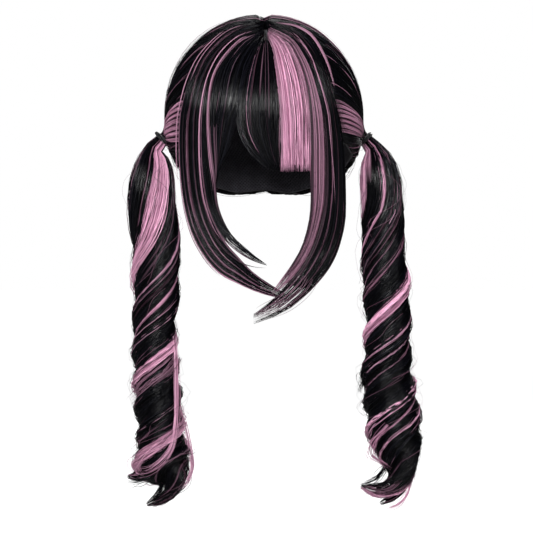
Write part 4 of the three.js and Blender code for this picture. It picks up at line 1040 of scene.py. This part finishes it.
WISPS_RIGHT = (
    (16, 1.0, [
        [0.88, 1.7, -0.2, 0.12, 0.0], [0.93, 1.85, -0.2, 0.15, 0.0], [0.97, 1.75, -0.25, 0.16, 0.0],
        [1.0, 1.35, -0.3, 0.13, 0.0], [1.015, 0.7, -0.3, 0.08, 0.0]]),
    (24, 0.0, [
        [0.84, 1.1, -0.9, 0.16, 0.0], [0.9, 0.75, -0.8, 0.16, 0.0], [0.93, 0.35, -0.6, 0.14, 0.0],
        [0.948, -0.35, -0.5, 0.1, 0.0]]),
    (14, 0.3, [
        [0.93, 1.5, -0.6, 0.16, 0.0], [0.955, 1.0, -0.65, 0.16, 0.0], [0.96, 0.4, -0.55, 0.14, 0.0],
        [0.95, -0.2, -0.45, 0.1, 0.0]]),
    (14, 0.9, [
        [0.78, 0.9, -1.2, 0.14, 0.0], [0.83, 0.3, -1.0, 0.18, 0.0], [0.862, 0.25, -0.9, 0.2, 0.0],
        [0.885, 0.7, -0.85, 0.16, 0.0], [0.9, 1.1, -0.8, 0.1, 0.0]]),
    (18, 0.0, [
        [0.6, 0.5, -0.75, 0.2, 0.0], [0.64, 0.05, -0.5, 0.24, 0.0], [0.67, -0.1, -0.2, 0.24, 0.0],
        [0.7, -0.2, 0.0, 0.2, 0.0]]),
)


END_BUNCH = 52


def tail_pinkness(at, angle, share, bands):
    drop = -(at(share)[0][..., 2] + TIE_DROP) / TAIL_LENGTH
    value = np.zeros(np.broadcast(angle, share).shape)
    for middle, half, strength, first, last in bands:
        away = np.abs((angle - middle + 180) % 360 - 180)
        shown = smoothstep(drop, first - 0.04, first + 0.02) * (1 - smoothstep(drop, last, last + 0.06))
        value = np.maximum(value, strength**1.7 * shown * (1 - smoothstep(away, half * 0.6, half)))
    return value


def tail_strands(build, at, start, number, points, seed, low, high, bands, black_share=0.0, pink_share=0.015):
    """Strands of a tail between two angles round it."""
    draw = np.random.default_rng(seed)
    shares = even_shares(at, points)
    early = draw.random(number) < 0.26
    ends = np.where(early, draw.uniform(0.76, 0.98, number), 1 - 0.06 * draw.random(number) ** 2)
    share = ends[:, None] * shares[None, :]
    angle = draw.uniform(low, high, number)[:, None]
    loose = draw.random(number) < 0.045
    radius = np.where(loose, draw.uniform(1.03, 1.12, number), draw.uniform(0.93, 1.02, number))[:, None]
    wander = 4 * ripple(share * 2 + draw.uniform(0, 9, number)[:, None], seed + 3, waves=4, highest=2.5)
    radius = radius + 0.01 * ripple(share * 3 + draw.uniform(0, 9, number)[:, None], seed + 4, waves=5, highest=4)
    radius = radius + 0.035 * ripple(angle / 360, seed + 5, waves=9, lowest=6, highest=16)
    fray = draw.uniform(-0.5, 0.7, number)[:, None] * smoothstep(share, 0.86, 1)
    flick = np.where(early, draw.uniform(0.0, 0.3, number), 0)[:, None] * smoothstep(shares, 0.8, 1)[None, :]
    bunched = (np.round(angle / END_BUNCH - 0.5) + 0.5) * END_BUNCH
    angles = lerp(angle, bunched, 0.72 * smoothstep(share, 0.82, 0.97)) + wander * smoothstep(share, 0.03, 0.2)
    place, out = tail_point(at, share, angles, radius + fray + flick, start)
    body = np.clip(np.sin(np.pi * lerp(0.2, 1, np.linspace(0, 1, points))) ** 0.4, 0.15, 1)
    widths = draw.uniform(0.6, 1.25, number)[:, None] * body[None, :]
    tone = clump_tone(draw, ripple(angle[:, 0] / 360, seed + 5, waves=9, lowest=6, highest=16))
    tone = tone[:, None] * np.ones(points)
    stray = np.where(draw.random(number) < pink_share, draw.uniform(0.3, 0.7, number), 0)[:, None]
    kept = np.where(draw.random(number) < black_share, 0.2, 1.0)[:, None]
    build.strands(place, out, widths, np.maximum(tail_pinkness(at, angles, share, bands), stray) * kept, tone)


def tail_flyaways(build, at, start, seed):
    """Fine hairs that leave a tail and come back to it."""
    number, points = 60, 14
    draw = np.random.default_rng(seed)
    first = draw.uniform(0.08, 0.9, number)[:, None]
    span = draw.uniform(0.06, 0.22, number)[:, None]
    t = np.linspace(0, 1, points)[None, :]
    share = np.minimum(first + span * t, 1)
    angle = draw.uniform(0, 360, number)[:, None] + 25 * ripple(t + draw.uniform(0, 9, number)[:, None], seed, highest=1.5)
    lift = draw.uniform(0.08, 0.42, number)[:, None] * np.sin(np.pi * t * draw.uniform(0.6, 1.0, number)[:, None])
    place, out = tail_point(at, share, angle, 0.97 + lift, start)
    shade = np.where(draw.random(number) < 0.3, 0.5, 0.0)[:, None] * np.ones(points)
    build.strands(place, out, np.full((number, points), FINE_HAIR), shade, np.full((number, points), 0.3))


def tail_cover(build, at, start, first, last, seed):
    """Black hair that lies over the pink lock between two drops."""
    number, points = 110, 18
    draw = np.random.default_rng(seed)
    fine = np.linspace(0, 0.95, 400)
    drops = -(at(fine)[0][:, 2] + TIE_DROP) / TAIL_LENGTH
    low, high = np.interp([first, last], drops, fine)
    t = np.linspace(0, 1, points)[None, :]
    low = low + draw.uniform(0, 0.03, number)[:, None]
    high = high + draw.uniform(-0.03, 0.02, number)[:, None]
    angle = draw.uniform(-1, 1, number)[:, None] * (PINK_HALF_ANGLE + 4) * np.ones(points)
    radius = 0.9 + draw.uniform(0.1, 0.15, number)[:, None] * np.sin(np.pi * np.clip(t, 0.02, 0.98)) ** 0.3
    place, out = tail_point(at, lerp(low, high, t), angle, radius, start)
    widths = draw.uniform(0.7, 1.3, number)[:, None] * np.ones(points)
    tone = draw.uniform(0.0, 0.9, number)[:, None] * np.ones(points)
    build.strands(place, out, widths, np.zeros((number, points)), tone)


def tail_wisps(build, side, wisps, seed):
    """Loose bundles at the end of a tail, each round its own middle line."""
    points = 20
    draw = np.random.default_rng(seed)
    for number, pink, rows in wisps:
        at = tail_spine(side, np.array(rows), False)
        ends = 1 - 0.2 * draw.random(number)
        share = ends[:, None] * np.linspace(0, 1, points)[None, :]
        angle = draw.uniform(0, 360, number)[:, None] * np.ones(points)
        radius = draw.uniform(0.1, 1.0, number)[:, None] * (1 + 0.6 * smoothstep(share, 0.5, 1))
        bend = 1 + 0.5 * ripple(share + draw.uniform(0, 9, number)[:, None], seed + 1, waves=3, highest=2)
        place, out = tail_point(at, share, angle, radius * bend, 0)
        taper = np.clip(np.sin(np.pi * np.linspace(0.15, 1, points)) ** 0.5, 0.15, 1)
        widths = draw.uniform(0.4, 0.9, number)[:, None] * taper[None, :]
        tone = draw.uniform(0.1, 0.9, number)[:, None] * np.ones(points)
        shade = np.where(draw.random(number) < 0.85, pink, 0.5 * pink)[:, None] * np.ones(points)
        build.strands(place, out, widths, shade, tone)


def tail(side, name, rows, curl, start, bands, wisps, seed):
    at = tail_spine(side, rows, True)
    shares = even_shares(at, 150)
    flank = PINK_HALF_ANGLE + 1
    build = Build()
    angles = np.concatenate([np.linspace(flank, 360 - flank, 44), [360 - flank, 360, 360 + flank]])
    depth = np.concatenate([np.full(44, 0.94), [0.7, 0.7, 0.7]])
    solid = shares * TAIL_BODY
    share = solid[:, None] * np.ones(len(angles))
    angle = angles[None, :] * np.ones((len(solid), 1))
    comb = 0.035 * ripple(angle / 360, seed + 6, waves=9, lowest=6, highest=16)
    thinned = lerp(1, 0.28, smoothstep(share, 0.77, 0.92))
    rings, unused = tail_point(at, share, angle, (depth[None, :] + comb * (depth > 0.9)) * thinned, start)
    build.loft(rings, np.zeros(share.shape), np.full(share.shape, 0.3))
    tail_strands(build, at, start, 390, 40, seed + 1, flank - 2, 362 - flank, bands)
    curl_at = tail_spine(side, curl, False)
    curl_share = np.linspace(0, 0.85, 40)[:, None] * np.ones(20)
    curl_angle = np.linspace(0, 360, 20, endpoint=False)[None, :] * np.ones((40, 1))
    rings, unused = tail_point(curl_at, curl_share, curl_angle, 0.85, 0)
    build.loft(rings, np.zeros((40, 20)), np.full((40, 20), 0.3))
    tail_strands(build, curl_at, 0, 70, 18, seed + 2, 0, 360, [], pink_share=0.15)
    tail_wisps(build, side, wisps, seed + 11)
    tail_flyaways(build, at, start, seed + 12)
    if side > 0:
        tail_cover(build, at, start, 0.62, 0.8, seed + 13)
    build.finish(f"{name}_ringlet", black_hair, "black_hair", name)

    pink = Build()
    width = PINK_HALF_ANGLE - 1
    angles = np.concatenate([np.linspace(-width, width, 14), [width, 0, -width]])
    depth = np.concatenate([np.full(14, 0.95), [0.74, 0.74, 0.74]])
    cut = shares[shares < 0.93]
    share = cut[:, None] * np.ones(len(angles))
    angle = angles[None, :] * np.ones((len(cut), 1))
    rings, unused = tail_point(at, share, angle, depth[None, :], start)
    pink.loft(rings, np.ones(share.shape), np.full(share.shape, 0.3))
    whole = [(0, 60, 1.0, -1.0, 1.0)]
    tail_strands(pink, at, start, 125, 36, seed + 3, -width, width, whole, black_share=0.05, pink_share=0)
    lock_name = name.replace("tail", "tail_pink_lock")
    pink.finish(f"{lock_name}_ringlet", pink_hair, "pink_hair", lock_name)


# Cap and ties

def cap():
    around, down = 120, 44
    azimuth = np.linspace(0, 360, around, endpoint=False)
    low = cap_edge_direction(azimuth)
    flat = np.hypot(low[:, 0], low[:, 1])
    polar = np.arccos(low[:, 2])

    def ring(share, layer):
        angle = polar * share
        direction = np.stack([low[:, 0] / flat * np.sin(angle), low[:, 1] / flat * np.sin(angle), np.cos(angle)], axis=-1)
        return shell_point(direction, layer, HEAD_REACH)

    shares = np.linspace(0.02, 1, down)
    band = smoothstep(shares, 0.93, 0.95)
    weft = 0.22 * np.abs(np.sin(shares * np.pi * 16))
    inside = [ring(share, 0.05 - 0.0 * b) for share, b in zip(shares, band)]
    outside = [ring(share, CAP_WALL + w * (1 - b) + 0.5 * b) for share, w, b in zip(shares, weft, band)]
    rings = np.stack(inside + outside[::-1])
    build = Build()
    build.loft(rings, np.zeros(rings.shape[:2]), np.zeros(rings.shape[:2]))
    build.finish("wig_cap_net", cap_net, "net_cap", "wig_cap")


def hair_tie(side, name):
    """A doubled elastic whose two turns are each a twist of three cords, with its knot."""
    centre, axis, forward, over = tie_frame(side)
    cord = TIE_CORD / 2
    ring_radius = BUNDLE_RADIUS + FIT_GAP + cord
    build = Build()
    turn = np.linspace(0, 2 * np.pi, 73)
    out = forward * np.cos(turn)[:, None] + over * np.sin(turn)[:, None]
    for along in (-cord * 0.85, cord * 0.85):
        for strand in range(3):
            twist = turn * 7 + strand * 2 * np.pi / 3
            path = centre + axis * along + out * (ring_radius + 0.32 * cord * np.cos(twist))[:, None]
            path = path + axis * (0.32 * cord * np.sin(twist))[:, None]
            build.strands(path[None], out[None], np.full((1, 73), TIE_CORD * 0.78), np.zeros((1, 73)), np.zeros((1, 73)), flat=1)
    turn = np.linspace(0, np.pi, 12)
    knot = centre + over * (ring_radius + cord * 0.8)
    circle = np.linspace(0, 2 * np.pi, 16, endpoint=False)
    ring_radii = np.sin(np.clip(turn, 0.1, np.pi - 0.1)) * cord * 1.35
    rings = knot + over * (-np.cos(turn) * cord * 1.35)[:, None, None] + (
        forward * np.cos(circle)[:, None] + axis * np.sin(circle)[:, None])[None] * ring_radii[:, None, None]
    build.loft(rings, np.zeros((12, 16)), np.zeros((12, 16)))
    build.finish(f"{name}_braid", braid, "elastic", name)


cap()
for seed, lock_name in enumerate(LOCKS):
    make_lock(lock_name, 100 + seed * 17)
crown(-1, "crown_hair_left", LOCK_LEFT_OUTER, CROWN_BANDS_LEFT, 301)
crown(1, "crown_hair_right", LOCK_RIGHT_OUTER, CROWN_BANDS_RIGHT, 331)
temple_strand(-1, "temple_strand_left", LOCK_LEFT_OUTER, 0.02, 401)
temple_strand(1, "temple_strand_right", LOCK_RIGHT_OUTER, 0.24, 431)
hair_tie(-1, "hair_tie_left")
hair_tie(1, "hair_tie_right")
tail(-1, "tail_left", TAIL_LEFT, CURL_LEFT, PINK_START_LEFT, BANDS_LEFT, WISPS_LEFT, 501)
tail(1, "tail_right", TAIL_RIGHT, CURL_RIGHT, PINK_START_RIGHT, BANDS_RIGHT, WISPS_RIGHT, 541)


# Studio

CAMERA_X = 2.3
CAMERA_Z = -220.6
CAMERA_DISTANCE = 3000
VIEW_WIDTH = 490.4 # of the picture at the object, in millimetres
SENSOR = 36
FLOOR_Z = -460
FLOOR_GLOW = 0.95
ROOM_LIGHT = 0.03
# Name, place, size in metres, and power in watts
LIGHTS = (
    ("key", (-1.0, -2.1, 0.55), 1.0, 47),
    ("fill", (1.6, -1.9, 0.5), 1.0, 20),
    ("front", (-0.2, -2.3, 0.45), 0.5, 37),
    ("top", (0.0, 0.9, 1.8), 1.2, 20),
    ("back", (0.6, 2.1, 0.6), 1.2, 14),
)


def studio():
    scene = bpy.context.scene
    scene.view_settings.view_transform = "Standard"
    world = bpy.data.worlds.new("studio")
    scene.world = world
    world.use_nodes = True
    make = node_maker(world)
    ray = make("ShaderNodeLightPath")
    seen = make("ShaderNodeBackground", {"Color": (1, 1, 1, 1), "Strength": 1.0})
    room = make("ShaderNodeBackground", {"Color": (1, 1, 1, 1), "Strength": ROOM_LIGHT})
    sky = make("ShaderNodeMixShader", {0: ray.outputs["Is Camera Ray"], 1: room.outputs[0], 2: seen.outputs[0]})
    make("ShaderNodeOutputWorld", {"Surface": sky.outputs[0]})
    half = 30.0
    z = FLOOR_Z * MM
    floor_mesh = bpy.data.meshes.new("floor")
    floor_mesh.from_pydata([(-half, -half, z), (half, -half, z), (half, half, z), (-half, half, z)], [], [(0, 1, 2, 3)])
    floor = bpy.data.objects.new("floor", floor_mesh)
    scene.collection.objects.link(floor)
    material = bpy.data.materials.new("pale_floor")
    material.use_nodes = True
    make = node_maker(material)
    ray = make("ShaderNodeLightPath")
    place = make("ShaderNodeTexCoord")
    away = make("ShaderNodeVectorMath", {0: place.outputs["Object"]}, operation="LENGTH")
    level = make("ShaderNodeMapRange", {
        "Value": away.outputs["Value"], "From Min": 1.0, "From Max": 5.0, "To Min": FLOOR_GLOW, "To Max": 1.0,
    })
    glow = make("ShaderNodeMath", {0: ray.outputs["Is Camera Ray"], 1: level.outputs[0]}, operation="MULTIPLY")
    shine = make("ShaderNodeEmission", {"Color": (1, 1, 1, 1), "Strength": glow.outputs[0]})
    matt = make("ShaderNodeBsdfDiffuse", {"Color": (0.3, 0.3, 0.3, 1)})
    both = make("ShaderNodeAddShader", {0: shine.outputs[0], 1: matt.outputs[0]})
    make("ShaderNodeOutputMaterial", {"Surface": both.outputs[0]})
    floor_mesh.materials.append(material)
    for name, place, size, power in LIGHTS:
        light = bpy.data.lights.new(name, "AREA")
        light.shape = "DISK"
        light.size = size
        light.energy = power
        lamp = bpy.data.objects.new(name, light)
        lamp.location = place
        aim = Vector((0, 0, -0.2)) - Vector(place)
        lamp.rotation_euler = aim.to_track_quat("-Z", "Y").to_euler()
        scene.collection.objects.link(lamp)
    camera = bpy.data.cameras.new("camera")
    camera.sensor_width = SENSOR
    camera.lens = SENSOR * CAMERA_DISTANCE / VIEW_WIDTH
    camera.clip_end = 100
    eye = bpy.data.objects.new("camera", camera)
    eye.location = (CAMERA_X * MM, -CAMERA_DISTANCE * MM, CAMERA_Z * MM)
    eye.rotation_euler = (math.pi / 2, 0, 0)
    scene.collection.objects.link(eye)
    scene.camera = eye


studio()
